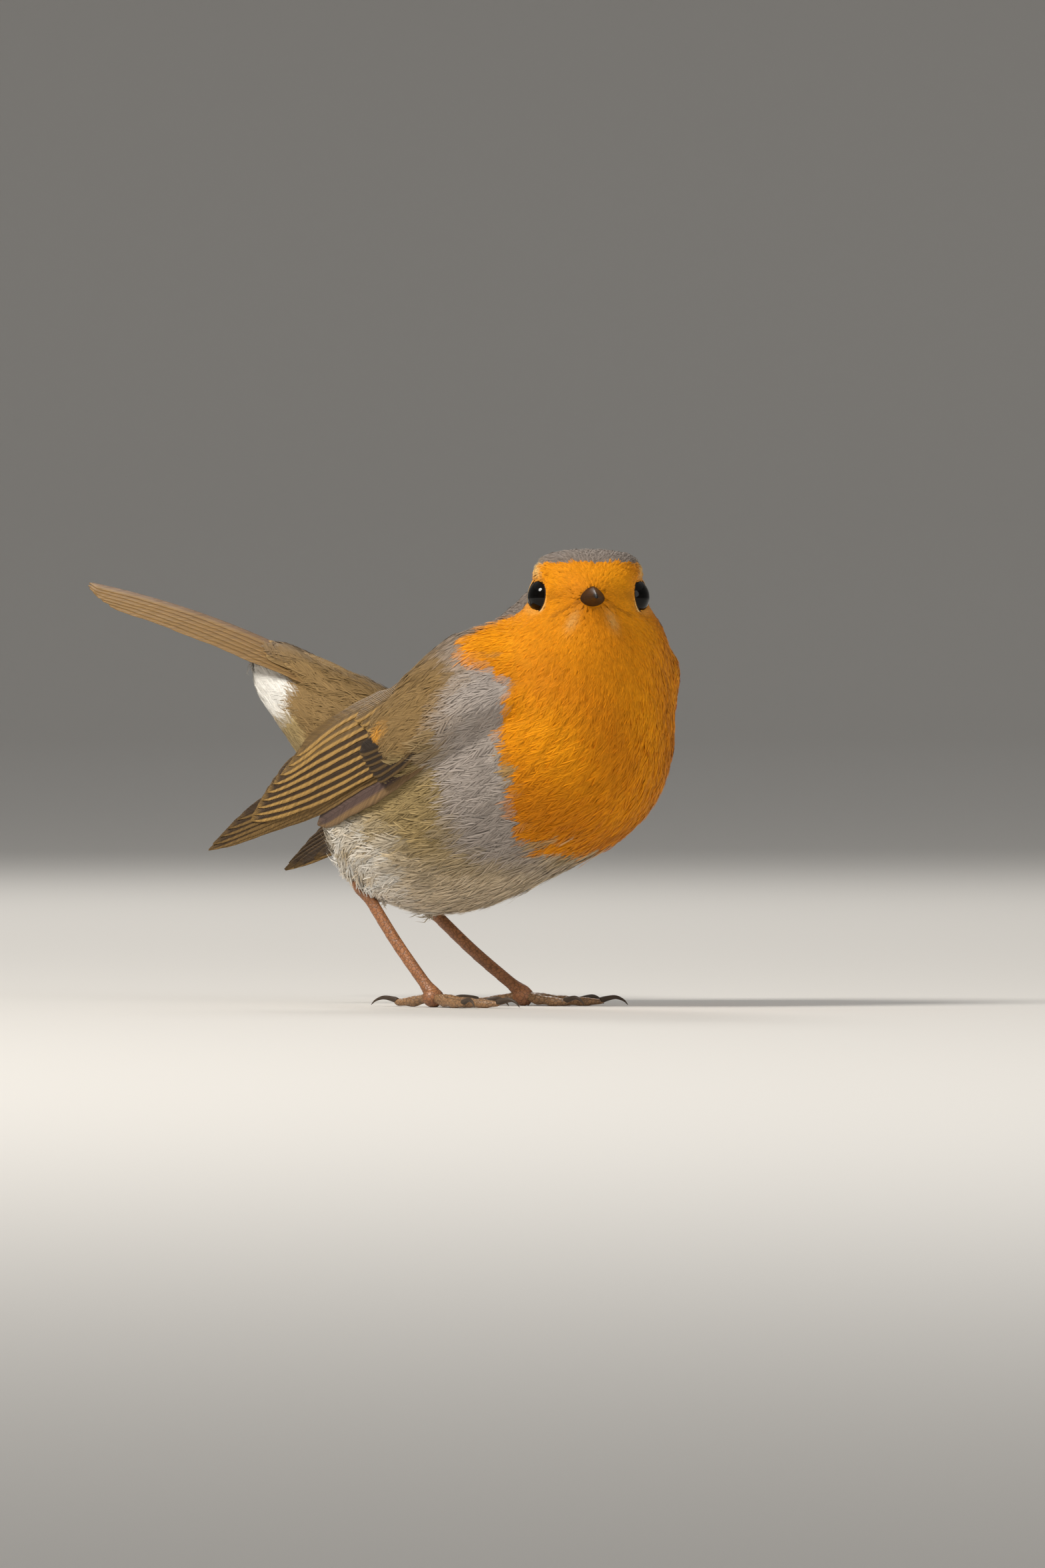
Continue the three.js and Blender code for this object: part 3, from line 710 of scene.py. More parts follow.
def face_marks(points, colours):
    """Darker lores, a line from the gape under each eye, paler patches beside the chin, and pale feathers on
    brows and eye rings.
    """
    head = from_head(points)
    ahead, beside, height = head[:, 0], np.abs(head[:, 1]), head[:, 2]
    lore = hump(ahead, 6.6, 2.4) * hump(height, -0.2, 1.0) * smooth(beside, 1.5, 3.0)
    gape = hump(height, -1.5 - 0.55 * (beside - 2.2), 0.34) * smooth(beside, 1.6, 2.6)
    gape = gape * smooth(7.4 - beside, 0.0, 1.4) * smooth(ahead, 1.0, 3.0)
    colours = blend(colours, linear(LORE_BROWN), 0.3 * lore + 0.38 * gape)
    chin = hump(beside, 2.8 + 0.35 * (-3.6 - height), 0.8) * hump(height, -4.8, 1.6)
    chin = chin * smooth(ahead, 2.0, 4.0)
    brow = smooth(beside, 6.6, 8.2) * hump(height, 4.3, 1.0) * smooth(ahead, -1.5, 0.5)
    brow = brow * smooth(4.5 - ahead, 0.0, 2.0)
    colours = blend(colours, linear(BROW_CREAM), np.clip(0.35 * chin + 0.75 * brow, 0, 1))
    for side in (-1, 1):
        ring = head - np.array([EYE_AHEAD, side * EYE_SPREAD, 0])
        low_and_back = np.clip(0.35 - 0.5 * ring[:, 2] / 4 - 0.35 * ring[:, 0] / 4, 0, 1)
        pale = hump(np.linalg.norm(ring, axis=1), 3.9, 0.7) * low_and_back
        colours = blend(colours, linear(EYE_RING_BUFF), 0.4 * pale)
    return colours


def wing_marks(points, colours, tint):
    """A dark patch over the alula, with a golden spot above it."""
    s, t = off_wing(points)
    outside = smooth(np.abs(points[:, 1]), 8.0, 11.0)
    patch = hump(s, 26.0, 3.6) * hump(t, -2.2, 2.2) * outside
    colours = blend(colours, tint.alula, 0.6 * patch)
    spot = hump(s, 24.6, 1.5) * hump(t, 1.9, 1.2) * outside
    return blend(colours, tint.gold, np.clip(1.2 * spot, 0, 1))


def markings(points):
    """The plumage's colour at points of the skin: linear red, green and blue."""
    tint = bpy.context.scene.robin_plumage
    colours = bib_and_band(points, back_and_belly(points, tint), tint)
    colours = wing_marks(points, face_marks(points, colours), tint)
    return np.clip(colours, 0.0, 1.0)


# ------------------------------------------------------------------ body feathers
STEPS = 6  # stretches of each shaft's path over the skin
THIGHS = np.array([[-19.0, -8.0, 25.0], [-15.0, 8.0, 23.0]])  # where the feathered shanks end
REACH = 1.25  # the longest barbs end this far along the shaft, against the feather's length
PATCH = 0.0014  # half of a tuft's patch on the bake map
# A barb is a ribbon of five corners that narrows to a point. For each: its place on the barb, and its side.
CORNER_AT = np.array([0, 0, 1, 1, 2])
CORNER_SIDE = np.array([1.0, -1.0, 0.9, -0.9, 0.0])
APART = 0.74  # the least distance of two roots, against the mean distance at that density


def regions(points):
    """Soft masks over the body: the folded arm, the back, the grey side band, the rump and the belly."""
    x, y, z = points.T
    s, t = off_wing(points)
    outside = smooth(np.abs(y), 8.0, 12.0)
    top = np.interp(s, [0, 10, 20, 30], [8, 10, 12.3, 13.8])
    arm = smooth(s, -3.0, 4.0) * smooth(34.0 - s, 0, 4)
    arm = arm * smooth(t, -7.0, -3.0) * smooth(top - t, 0.0, 4.5) * outside
    back = smooth(z - np.interp(x, [-45, -25, 14, 25], [50, 46, 56, 62]), -2.0, 3.0)
    edge = bib_edge(z)
    width = np.interp(z, [24, 32, 44, 56, 64], [5, 10, 12, 8, 3])
    band = smooth(edge - x, -2.0, 0.5) * smooth(width + x - edge, -2.5, 2.5)
    band = band * smooth(z, 26.0, 32.0) * smooth(62.0 - z, 0.0, 5.0) * smooth(np.abs(y), 7.0, 11.0)
    rear = smooth(-x, 22.0, 30.0)
    low = smooth(36.0 - z, -2.0, 6.0) * (1 - rear)
    return {"arm": arm * (1 - band), "back": back, "band": band, "rear": rear, "low": low}


def feather_sizes(points):
    """Length, half width, rise of the tip, barb width and looseness of each feather."""
    near = regions(points)
    away = from_bill(points)
    eye = eye_distance(points)
    length = np.interp(away, [0, 4, 9, 16, 26, 40, 60], [1.2, 1.9, 2.8, 4.2, 6.0, 7.4, 8.0])
    length = np.minimum(length, np.interp(eye, [3.2, 5, 8, 14], [0.8, 1.4, 2.8, 6.0]))
    loose = np.interp(away, [0, 12, 30, 50], [0.05, 0.06, 0.07, 0.08])
    rise = coat_depth(points) * 0.95
    head = from_head(points)
    # The crown and the brows over the eyes are fuller.
    brow = smooth(head[:, 2], 2.2, 4.5) * smooth(np.abs(head[:, 1]), 4.0, 7.0)
    brow = brow * smooth(9.0 - np.abs(head[:, 0] - 1.0), 0.0, 4.0)
    rise += 0.3 * smooth(head[:, 2], 3.0, 6.0) * smooth(20.0 - away, 0.0, 6.0) + 0.4 * brow
    length += 0.3 * brow
    length += near["band"] * 2.6
    rise += near["band"] * 0.4
    loose += near["band"] * 0.02
    length += near["low"] * 1.2
    loose += near["low"] * 0.06
    # Round the feathered shanks they hang loose over the heels.
    to_thigh = np.minimum(*(np.linalg.norm(points - thigh, axis=1) for thigh in THIGHS))
    shank = smooth(9.0 - to_thigh, 0.0, 4.0)
    length += shank * 1.5
    rise += shank * 0.5
    loose += shank * 0.1
    trunk = smooth(away, 24.0, 34.0)
    tidy = np.clip(near["arm"] + near["back"] * trunk, 0, 1)
    length = length * (1 - tidy) + np.clip(length, 3.0, 6.4) * tidy
    rise = rise * (1 - near["arm"]) + 1.35 * near["arm"]
    loose = loose * (1 - 0.6 * tidy)
    length += near["rear"] * 1.6
    half = (0.11 + 0.06 * tidy) * length + 0.14
    barb = np.interp(length, [1, 3, 6, 9], [0.12, 0.15, 0.2, 0.23])
    return length, half, rise, barb, loose


def barbs(per_side):
    """One feather laid flat: for each barb its root, middle and end as (along the shaft, across it)."""
    ribs = []
    for side in (-1, 1):
        for i in range(per_side):
            at = 0.08 + 0.72 * ((i + 0.5) / per_side) ** 0.85
            out = math.sin(math.pi * min(at * 0.55 + 0.33, 1.0)) ** 0.8
            ahead = 0.56 - 0.28 * at
            ribs.append(((at, 0.0), (at + ahead * 0.7, side * out * 0.76), (at + ahead, side * out)))
    # One barb ends the shaft.
    ribs.append(((0.6, 0.0), (0.92, 0.0), (1.1, 0.0)))
    return np.array(ribs)


def ribbon_triangles(count):
    """The triangles of ribbons of five corners each."""
    corner = np.arange(count)[:, None, None] * 5
    return (corner + np.array([[0, 1, 3], [0, 3, 2], [2, 3, 4]])).reshape(-1, 3)


def scatter(surface, density, rng):
    """Roots spread evenly over a surface, and the face each one is on.

    density gives the feathers for each square millimetre at points. Too many roots are drawn, and each is
    kept that no earlier one is too near to.
    """
    share_of = bpy.context.scene.robin_plumage.density
    wanted = density(surface.centres) * surface.areas * share_of
    total = wanted.sum()
    faces = rng.choice(len(wanted), size=int(total * 2.6), p=wanted / total)
    r1, r2 = np.sqrt(rng.random(len(faces))), rng.random(len(faces))
    corners = surface.points[surface.faces[faces]]
    weights = np.stack([1 - r1, r1 * (1 - r2), r1 * r2], axis=1)
    points = corners[:, 0] * weights[:, :1] + corners[:, 1] * weights[:, 1:2] + corners[:, 2] * weights[:, 2:]
    radius = APART / np.sqrt(np.maximum(density(points) * share_of, 1e-3))
    kept = []
    cells, cell = {}, float(radius.max())
    keys = np.floor(points / cell).astype(int).tolist()
    for i, (key, here, limit) in enumerate(zip(keys, points.tolist(), (radius**2).tolist())):
        around = [
            q
            for ix in (-1, 0, 1)
            for iy in (-1, 0, 1)
            for iz in (-1, 0, 1)
            for q in cells.get((key[0] + ix, key[1] + iy, key[2] + iz), ())
        ]
        x, y, z = here
        if all((q[0] - x) ** 2 + (q[1] - y) ** 2 + (q[2] - z) ** 2 >= limit for q in around):
            cells.setdefault(tuple(key), []).append(here)
            kept.append(i)
    return points[kept], faces[kept]


def trace(surface, roots, length, turn):
    """Each shaft's path over the skin, and the skin's normals along it. A shaft bridges steps and hollows."""
    path = np.empty((STEPS + 1, len(roots), 3))
    up = np.empty((STEPS + 1, len(roots), 3))
    at, normal, _ = surface.snap(roots)
    step = (length * REACH / STEPS)[:, None]
    for k in range(STEPS + 1):
        path[k], up[k] = at, normal
        way = lie(at, normal)
        way = way * np.cos(turn)[:, None] + np.cross(normal, way) * np.sin(turn)[:, None]
        ahead = at + way * step
        below, fresh, _ = surface.snap(ahead)
        gap = np.linalg.norm(ahead - below, axis=1, keepdims=True)
        free = smooth(gap / step, 0.25, 0.7) * 0.85
        at = below + (ahead - below) * free
        normal = normal * free + fresh * (1 - free)
        normal /= np.linalg.norm(normal, axis=1, keepdims=True)
    return path, up


def covered_end(roots, surface):
    """True where the lie runs straight out of the skin near the tail: the feathers around cover that."""
    way = pull(roots)
    _, out, _ = surface.snap(roots)
    steep = (way * out).sum(axis=1) / np.linalg.norm(way, axis=1)
    return steep * smooth(-roots[:, 0], 26.0, 30.0) >= 0.5


def lay_barbs(ribs, length, half, barb_width, loose, rng):
    """The barbs laid flat: their corners along and across each shaft, and across it as shares of half.

    The arrays run over feathers, barbs and corners.
    """
    each = (len(length), len(ribs), 1)
    astray = rng.normal(0, 1, each) * (0.02 + 0.3 * loose)
    along = ribs[None, :, :, 0] + astray * np.array([0.3, 1, 1.6])
    astray = rng.normal(0, 1, each) * (0.08 + 1.0 * loose)
    across = ribs[None, :, :, 1] + astray * np.array([0.0, 0.5, 1.1])
    shaft_mm, side_mm = along * length, across * half
    run = [shaft_mm[:, :, 2] - shaft_mm[:, :, 0], side_mm[:, :, 2] - side_mm[:, :, 0]]
    run = unit(np.stack(run, axis=-1))
    spread = np.stack([-run[..., 1], run[..., 0]], axis=-1) * barb_width / 2
    s = shaft_mm[:, :, CORNER_AT] + spread[:, :, None, 0] * CORNER_SIDE
    t = side_mm[:, :, CORNER_AT] + spread[:, :, None, 1] * CORNER_SIDE
    return s, t, across[:, :, CORNER_AT]


def lift_barbs(u, t, half, rise, barb_width, loose, rng):
    """How far the corners stand off the skin, and how much each barb leans.

    A feather rises fast from its root to the top of the coat and lies flat on it. Its ribbons lean, so that
    one catches the light and the next does not.
    """
    each = (*u.shape[:2], 1)
    lift = rise * (1 - (1 - np.clip(u, 0, 1)) ** 3.2) - 0.15
    lift = lift - 0.1 * (t / half) ** 2 * np.minimum(rise, 1.5)
    lift = lift + rng.normal(0, 1, each) * (0.03 + 0.45 * loose) * rise * u**2
    leans = rng.normal(0, 1, each)
    return lift + CORNER_SIDE * barb_width / 2 * 0.12 * leans, leans


def dress(name, surface, density, per_side, rng, tone):
    """Covers part of a surface with feathers, as one piece. tone says how much they differ in brightness."""
    roots, faces = scatter(surface, density, rng)
    bare = covered_end(roots, surface)
    roots, faces = roots[~bare], faces[~bare]
    count = len(roots)
    length, half, rise, barb_width, loose = feather_sizes(roots)
    length = length * rng.uniform(0.82, 1.18, count)
    rise = rise * rng.uniform(0.85, 1.1, count)
    path, up = trace(surface, roots, length, rng.normal(0, 1, count) * loose)
    sides = unit(np.cross(up, unit(np.gradient(path, axis=0))))
    length, half, rise, barb_width, loose = (
        sizes[:, None, None] for sizes in (length, half, rise, barb_width, loose)
    )
    s, t, across = lay_barbs(barbs(per_side), length, half, barb_width, loose, rng)
    number = s.shape[1]
    part = np.clip(s / (length * REACH), 0.0, 0.9999) * STEPS
    low = part.astype(int)
    high = (part - low)[..., None]
    index = np.arange(count)[:, None, None]
    base, normal, sideways = (
        line[low, index] * (1 - high) + line[low + 1, index] * high for line in (path, up, sides)
    )
    u = s / length
    lift, leans = lift_barbs(u, t, half, rise, barb_width, loose, rng)
    points = base + sideways * t[..., None] + normal * lift[..., None]
    shade = unit(normal + sideways * (0.3 * np.clip(t / half, -1, 1) - 0.1 * leans)[..., None])
    patch = np.stack([np.clip(across / 1.4, -1, 1), np.clip(u * 2 - 1, -1, 1)], axis=-1) * PATCH
    uvs = surface.uv[faces][:, None, None, :] + patch
    tones = 1.0 + tone * 0.6 * rng.normal(0, 1, (count, 1, 1)) + tone * rng.normal(0, 1, (count, number, 1))
    hues = markings(path[int(STEPS * 0.6)])
    values = {
        "along": u.ravel(),
        "strand": (rng.uniform(0, 200, (count, number, 1)) + CORNER_SIDE * 0.9).ravel(),
        "tone": np.broadcast_to(np.clip(tones, 0.5, 1.6), s.shape).ravel(),
        "plumage": np.broadcast_to(hues[:, None, None, :], (*s.shape, 3)).reshape(-1, 3),
    }
    points, shade, uvs = (a.reshape(-1, a.shape[-1]) for a in (points, shade, uvs))
    mesh = mesh_from_arrays(name, points, ribbon_triangles(count * number), shade, uvs, values)
    mesh.materials.append(bpy.data.materials["feather_keratin_soft"])
    return object_of(mesh, name)


def feathered(points):
    """1 where feathers grow: not over the eyes, nor where the bill leaves the face."""
    head = from_head(points)
    bill = (np.hypot(head[:, 1] / 1.6, (head[:, 2] + 1.0) / 1.5) < 0.9) & (head[:, 0] > 5)
    # The alula and its coverts are vaned feathers of their own.
    s, t = off_wing(points)
    alula = (s > 19.5) & (s < 36.0) & (t > -6.5) & (t < 0.8) & (np.abs(points[:, 1]) > 9.0)
    return ((eye_distance(points) > 3.3) & ~bill & ~alula).astype(float)


def tract(where, amount):
    """A density function: feathers grow where a test holds, closer together where they are shorter."""

    def density(points):
        length = feather_sizes(points)[0]
        close = np.interp(length, [1, 2, 3, 4.5, 6, 8, 10], [8.0, 6.0, 4.4, 3.0, 2.1, 1.5, 1.15])
        return where(points) * feathered(points) * amount * close

    return density


# ------------------------------------------------------------------ flight feathers
class Vane:
    """One flight feather: its shaft in the flat layout, the half widths of its vanes, and how it is layered.

    bow bends the shaft, outer and inner are the half widths on its two sides, lift is its height in the
    stack and tilt how far its outer edge stands up. hue names its colour, fringe says how strong its paler
    border is, blunt how much of its length rounds off to the tip, and edge which side carries the border.
    """

    def __init__(
        self, base, tip, bow, outer, inner, lift, tilt=0.12, hue="quill", fringe=1.0, blunt=0.16, edge=1
    ):
        self.base, self.tip, self.bow = np.array(base), np.array(tip), bow
        self.outer, self.inner, self.lift, self.tilt = outer, inner, lift, tilt
        self.hue, self.fringe, self.blunt, self.edge = hue, fringe, blunt, edge

    def half_widths(self, u, v, length, k):
        """Half the width at corners u along and v across: narrow at both ends, a little frayed at the edge.

        k is its number in the row, so that no two fray alike.
        """
        swell = np.interp(u, [0, 0.12, 0.3, 0.6, 1], [0.45, 0.75, 1, 1, 0.97])
        round_off = np.clip((u - 1 + self.blunt) / self.blunt, 0, 0.995)
        swell = swell * np.sqrt(np.clip(1 - round_off**2.2, 0.0, 1.0))
        wave = 1 + 0.05 * np.sin(u * length / 2.1 + k * 1.7) * np.abs(v) ** 3
        wave = wave + 0.03 * np.sin(u * length / 0.8 + k) * np.abs(v) ** 5
        return np.where(v < 0, self.outer, self.inner) * swell * wave


VANE_THICK = 0.09
BARB_PITCH = 0.42


def vane_template(along, across):
    """A flat feather of unit size, closed, as corners (0 to 1, -1 to 1, upper or under) and triangles."""
    bm = bmesh.new()
    bmesh.ops.create_grid(bm, x_segments=along, y_segments=across, size=1.0)
    upper = set(bm.verts)
    bmesh.ops.extrude_face_region(bm, geom=list(bm.faces))
    corners = np.array([((v.co.x + 1) / 2, v.co.y, 1.0 if v in upper else 0.0) for v in bm.verts])
    for vert, corner in zip(bm.verts, corners):
        vert.co.z = corner[2]
    bmesh.ops.recalc_face_normals(bm, faces=bm.faces)
    bmesh.ops.triangulate(bm, faces=bm.faces)
    bm.verts.index_update()
    triangles = np.array([[v.index for v in face.verts] for face in bm.faces])
    bm.free()
    return corners, triangles


def vanes(name, feathers, surface_at, replaced, side, rng):
    """Makes one piece of flight feathers. surface_at(s, t, lift, side) puts a point of the flat layout."""
    corners, triangles = vane_template(26, 8)
    u, v, layer = corners.T
    tint = bpy.context.scene.robin_plumage
    points, faces, uvs = [], [], []
    values = {key: [] for key in ("along", "across", "fringe", "mm_along", "mm_across", "quill")}
    for k, feather in enumerate(feathers):
        span = feather.tip - feather.base
        length = np.linalg.norm(span)
        ahead, aside = span / length, np.array([-span[1], span[0]]) / length
        width = feather.half_widths(u, v, length, k)
        bend = feather.bow * np.sin(np.pi * u) + v * width
        at = feather.base + np.outer(u * length, ahead) + np.outer(bend, aside)
        lift = feather.lift - feather.tilt * v + 0.10 * (1 - v * v) + VANE_THICK * layer
        lift = lift + 0.05 * hump(v * width, 0.0, 0.3) * layer  # the shaft stands up along the middle
        points.append(surface_at(at[:, 0], at[:, 1], lift, side))
        faces.append((triangles if side > 0 else triangles[:, ::-1]) + k * len(u))
        base = np.array(getattr(tint, feather.hue)) * rng.uniform(0.85, 1.15)
        values["along"].append(u)
        values["across"].append(v * feather.edge)
        values["fringe"].append(np.full(len(u), feather.fringe))
        values["mm_along"].append(u * length)
        values["mm_across"].append(v * width)
        values["quill"].append(np.tile(base, (len(u), 1)))
        # On the bake map each feather has a row, its upper side on the left and its under side on the right.
        row = (k + 0.5) / len(feathers) + v * 0.45 / len(feathers)
        uvs.append(np.stack([u * 0.48 + np.where(layer > 0, 0.01, 0.51), row], axis=-1))
    values = {key: np.concatenate(value) for key, value in values.items()}
    points, faces, uvs = (np.concatenate(rows) for rows in (points, faces, uvs))
    mesh = mesh_from_arrays(name, points, faces, uvs=uvs, values=values)
    mesh.materials.append(bpy.data.materials["feather_keratin_vane"])
    return object_of(mesh, name, replaced)


def vane_material():
    """Keratin vanes, zipped flat: satin, dark by the shaft, golden on the outer edge, fine barbs across."""
    _, tree = new_material("feather_keratin_vane")
    tint = bpy.context.scene.robin_plumage
    read = {
        key: add(tree, "ShaderNodeAttribute", attribute_name=key).outputs["Fac"]
        for key in ("along", "across", "fringe", "mm_along", "mm_across")
    }
    quill = add(tree, "ShaderNodeAttribute", attribute_name="quill").outputs["Color"]
    border = {"Value": read["across"], 1: -0.34, 2: -0.6, 3: 0.0, 4: 1.0}
    outer = add(tree, "ShaderNodeMapRange", border, interpolation_type="SMOOTHSTEP")
    inner = add(tree, "ShaderNodeMapRange", {"Value": read["across"], 1: 0.86, 2: 0.98, 3: 0.0, 4: 0.35})
    tip = add(tree, "ShaderNodeMapRange", {"Value": read["along"], 1: 0.95, 2: 1.0, 3: 0.0, 4: 0.6})
    edge = add(tree, "ShaderNodeMath", {0: outer.outputs[0], 1: inner.outputs[0]}, operation="MAXIMUM")
    edge = add(tree, "ShaderNodeMath", {0: edge.outputs[0], 1: tip.outputs[0]}, operation="MAXIMUM")
    edge = add(tree, "ShaderNodeMath", {0: edge.outputs[0], 1: read["fringe"]}, operation="MULTIPLY")
    # Barbs slant from the shaft towards the tip on both sides. Real ones are about 0.05 mm apart, too fine
    # to show, so they are drawn at BARB_PITCH.
    apart = add(tree, "ShaderNodeMath", {0: read["mm_across"]}, operation="ABSOLUTE")
    slope = {0: apart.outputs[0], 1: -1.5, 2: read["mm_along"]}
    slant = add(tree, "ShaderNodeMath", slope, operation="MULTIPLY_ADD")
    pitch = {0: slant.outputs[0], 1: 2 * math.pi / BARB_PITCH}
    phase = add(tree, "ShaderNodeMath", pitch, operation="MULTIPLY")
    barb = add(tree, "ShaderNodeMath", {0: phase.outputs[0]}, operation="SINE")
    locks = {"W": slant.outputs[0], "Scale": 1.1, "Detail": 3.0}
    streak = add(tree, "ShaderNodeTexNoise", locks, noise_dimensions="1D")
    uneven = add(tree, "ShaderNodeMapRange", {"Value": streak.outputs[0], 1: 0.3, 2: 0.7, 3: 0.8, 4: 1.2})
    lines = {"W": read["mm_across"], "Scale": 3.2, "Detail": 2.0}
    grain = add(tree, "ShaderNodeTexNoise", lines, noise_dimensions="1D")
    grain = add(tree, "ShaderNodeMapRange", {"Value": grain.outputs[0], 1: 0.3, 2: 0.7, 3: 0.82, 4: 1.2})
    uneven = add(tree, "ShaderNodeMath", {0: uneven.outputs[0], 1: grain.outputs[0]}, operation="MULTIPLY")
    mixed = add(tree, "ShaderNodeMix", {"Factor": edge.outputs[0]}, data_type="RGBA")
    tree.links.new(quill, mixed.inputs[6])
    mixed.inputs[7].default_value = (*tint.fringe, 1.0)
    barbed = add(tree, "ShaderNodeMapRange", {"Value": barb.outputs[0], 1: -1.0, 2: 1.0, 3: 0.93, 4: 1.05})
    value = add(tree, "ShaderNodeMath", {0: uneven.outputs[0], 1: barbed.outputs[0]}, operation="MULTIPLY")
    toned = add(tree, "ShaderNodeHueSaturation", {"Value": value.outputs[0], "Color": mixed.outputs[2]})
    bump = add(tree, "ShaderNodeBump", {"Strength": 0.5, "Distance": 0.00006, "Height": barb.outputs[0]})
    shader = add(
        tree,
        "ShaderNodeBsdfPrincipled",
        {
            "Base Color": toned.outputs[0],
            "Roughness": 0.55,
            "Specular IOR Level": 0.25,
            "Normal": bump.outputs[0],
        },
    )
    finish_material(tree, shader)


def between(first, last, w):
    """The point a share w of the way from the first to the last."""
    return np.array(first) * (1 - w) + np.array(last) * w


# The tips of the primaries in the flat layout: the broad lowest one first, then the wing's point.
PRIMARY_TIPS = (
    (48.5, -4.6),
    (58.5, -0.9),
    (64.5, -0.1),
    (69.0, 0.5),
    (70.8, 1.0),
    (69.5, 1.5),
    (67.5, 2.0),
    (65.5, 2.5),
    (63.0, 3.0),
)
SECONDARIES = 9
TERTIALS = 3  # the innermost of them


def wing_vanes():
    """The flight feathers of a folded wing, from the lowest layer up."""
    rows = []
    for k, tip in enumerate(PRIMARY_TIPS):
        w = k / (len(PRIMARY_TIPS) - 1)
        base = between((15, -5.2), (18, 1), w)
        outer, inner, hue, blunt = (1.3, 2.0, "quill", 0.4) if k else (2.7, 2.6, "primary", 0.45)
        lift = 0.6 + 0.1 * k
        rows.append(Vane(base, tip, -0.8 * (1 - w), outer, inner, lift, hue=hue, fringe=0.4, blunt=blunt))
    for k in range(SECONDARIES):
        w = (k + 0.4) / SECONDARIES
        base = between((18, -4.5), (21, 8.2), w)
        tip = between((60.5, 1.3), (46, 7.4), w) + np.array([7.0 * w * (1 - w), 0])
        inner, hue = (1.7, "tertial") if k >= SECONDARIES - TERTIALS else (3.0, "quill")
        rows.append(Vane(base, tip, -0.9 + 2.5 * w, 1.1, inner, 1.55 + 0.11 * k, hue=hue, blunt=0.22))
    return rows


def covert_vanes():
    """The dark alula and primary coverts, and the greater coverts over them, one with a golden tip."""
    rows = []
    for k in range(6):
        base, tip = between((17, -4.0), (18, 0.0), k / 5), between((28.5, -5.6), (31.5, 1.2), k / 5)
        rows.append(Vane(base, tip, -0.5, 1.0, 1.6, 2.6 + 0.08 * k, hue="alula", fringe=0.22, tilt=0.1))
    for k in range(5):
        base, tip = between((13, 1.0), (14, 6.0), k / 4), between((26.5, 1.4), (32.5, 6.5), k / 4)
        hue = "tertial" if k else "gold"
        rows.append(Vane(base, tip, 0.4, 1.1, 1.7, 3.0 + 0.08 * k, hue=hue, fringe=0.8, tilt=0.1))
    return rows


# ------------------------------------------------------------------ tail
TAIL_ROOT = (-30.0, 57.0)
TAIL_LENGTH = 56.0
TAIL_RISE = (26.0, 10.0)  # degrees that it rises at its root and at its tip
ROOF = 0.46  # how steeply both sides slope down from the middle feathers


def on_tail(s, y, lift, side):
    """A point of the tail: s from its root, y from its middle plane and lift off its upper side."""
    u = s / TAIL_LENGTH
    rise = np.radians(TAIL_RISE[0] + (TAIL_RISE[1] - TAIL_RISE[0]) * u / 2)
    here = np.radians(TAIL_RISE[0] + (TAIL_RISE[1] - TAIL_RISE[0]) * u)
    drop = ROOF * np.abs(y)
    return np.stack(
        [
            TAIL_ROOT[0] - s * np.cos(rise) + (lift - drop) * np.sin(here),
            side * y,
            TAIL_ROOT[1] + s * np.sin(rise) + (lift - drop) * np.cos(here),
        ],
        axis=-1,
    )


def tail_root_mesh():
    """The flesh round the roots of the tail feathers, under the uppertail coverts."""
    rings = []
    for s in np.linspace(-9.0, 15.0, 13):
        slim = smooth(s, 2.0, 16.0)
        turns = full_turn(20)
        y = (4.8 - 1.8 * slim) * np.cos(turns)
        lift = -1.9 + 1.2 * slim + (2.2 - 1.3 * slim) * np.sin(turns) + ROOF * np.abs(y)
        rings.append(np.where((y < 0)[:, None], on_tail(s, -y, lift, -1), on_tail(s, y, lift, 1)))
    return mesh_of(lofted(rings), "tail root")


def tail_vanes():
    """Six feathers to a side, the outermost lowest."""
    rows = []
    for k in range(6):
        w = 1 - k / 5
        base = (1.0, 0.4 + 3.6 * w)
        tip = (TAIL_LENGTH - 6.0 * w * w, 0.4 + 3.1 * w)
        # Across the tail the outer vane is the one away from the middle.
        look = {"tilt": -0.08, "hue": "tail", "fringe": 0.45, "blunt": 0.1, "edge": -1}
        rows.append(Vane(base, tip, 0.9 * w, 0.6 + 2.4 * w, 1.35 + 0.6 * w, 0.02 + 0.11 * k, **look))
    return rows


def over_tail(s, y, lift, side):
    """A point of the coverts that lie on the tail and rise to the rump."""
    return on_tail(s, y, lift + 0.35 + 0.9 * (1 - smooth(s, 2.0, 15.0)), side)


def under_tail(s, y, lift, side):
    """A point of the coverts that hang under the tail and sink to the vent."""
    return on_tail(s, y, lift - 0.5 - 2.2 * (1 - smooth(s, 2.0, 15.0)), side)


def tail_covert_vanes(under):
    """Soft feathers over the root of the tail, olive above and white below, the longest in the middle."""
    rows = []
    for row in range(3):
        for k in range(5):
            w = (k + 0.5 * (row % 2)) / 5
            reach = (15.0, 11.0, 7.5)[row] - 3.0 * w
            spread = 2.4 * w if under else 4.4 * w
            base, tip = (reach - 12.0, 0.3 + 0.9 * spread), (reach + 2.5, 0.4 + spread)
            lift = (0.1 + 0.22 * row + 0.05 * (4 - k)) * (-1 if under else 1)
            hue, fringe = ("vent", 0.0) if under else ("olive", 0.25)
            rows.append(Vane(base, tip, 0.0, 1.3, 1.3, lift, tilt=0.02, hue=hue, fringe=fringe, blunt=0.5))
    return rows


# ------------------------------------------------------------------ horn, scales and rings
# Millimetres across a worn patch of horn, its grain, one small scale of a leg and a darker patch of scales.
WORN_PATCH = 2.381
HORN_GRAIN = 0.3846
SCALE_WIDTH = 0.6667
STAIN_PATCH = 3.846


def full_turn(count):
    """Evenly spaced angles round a circle."""
    return np.arange(count) * 2 * math.pi / count


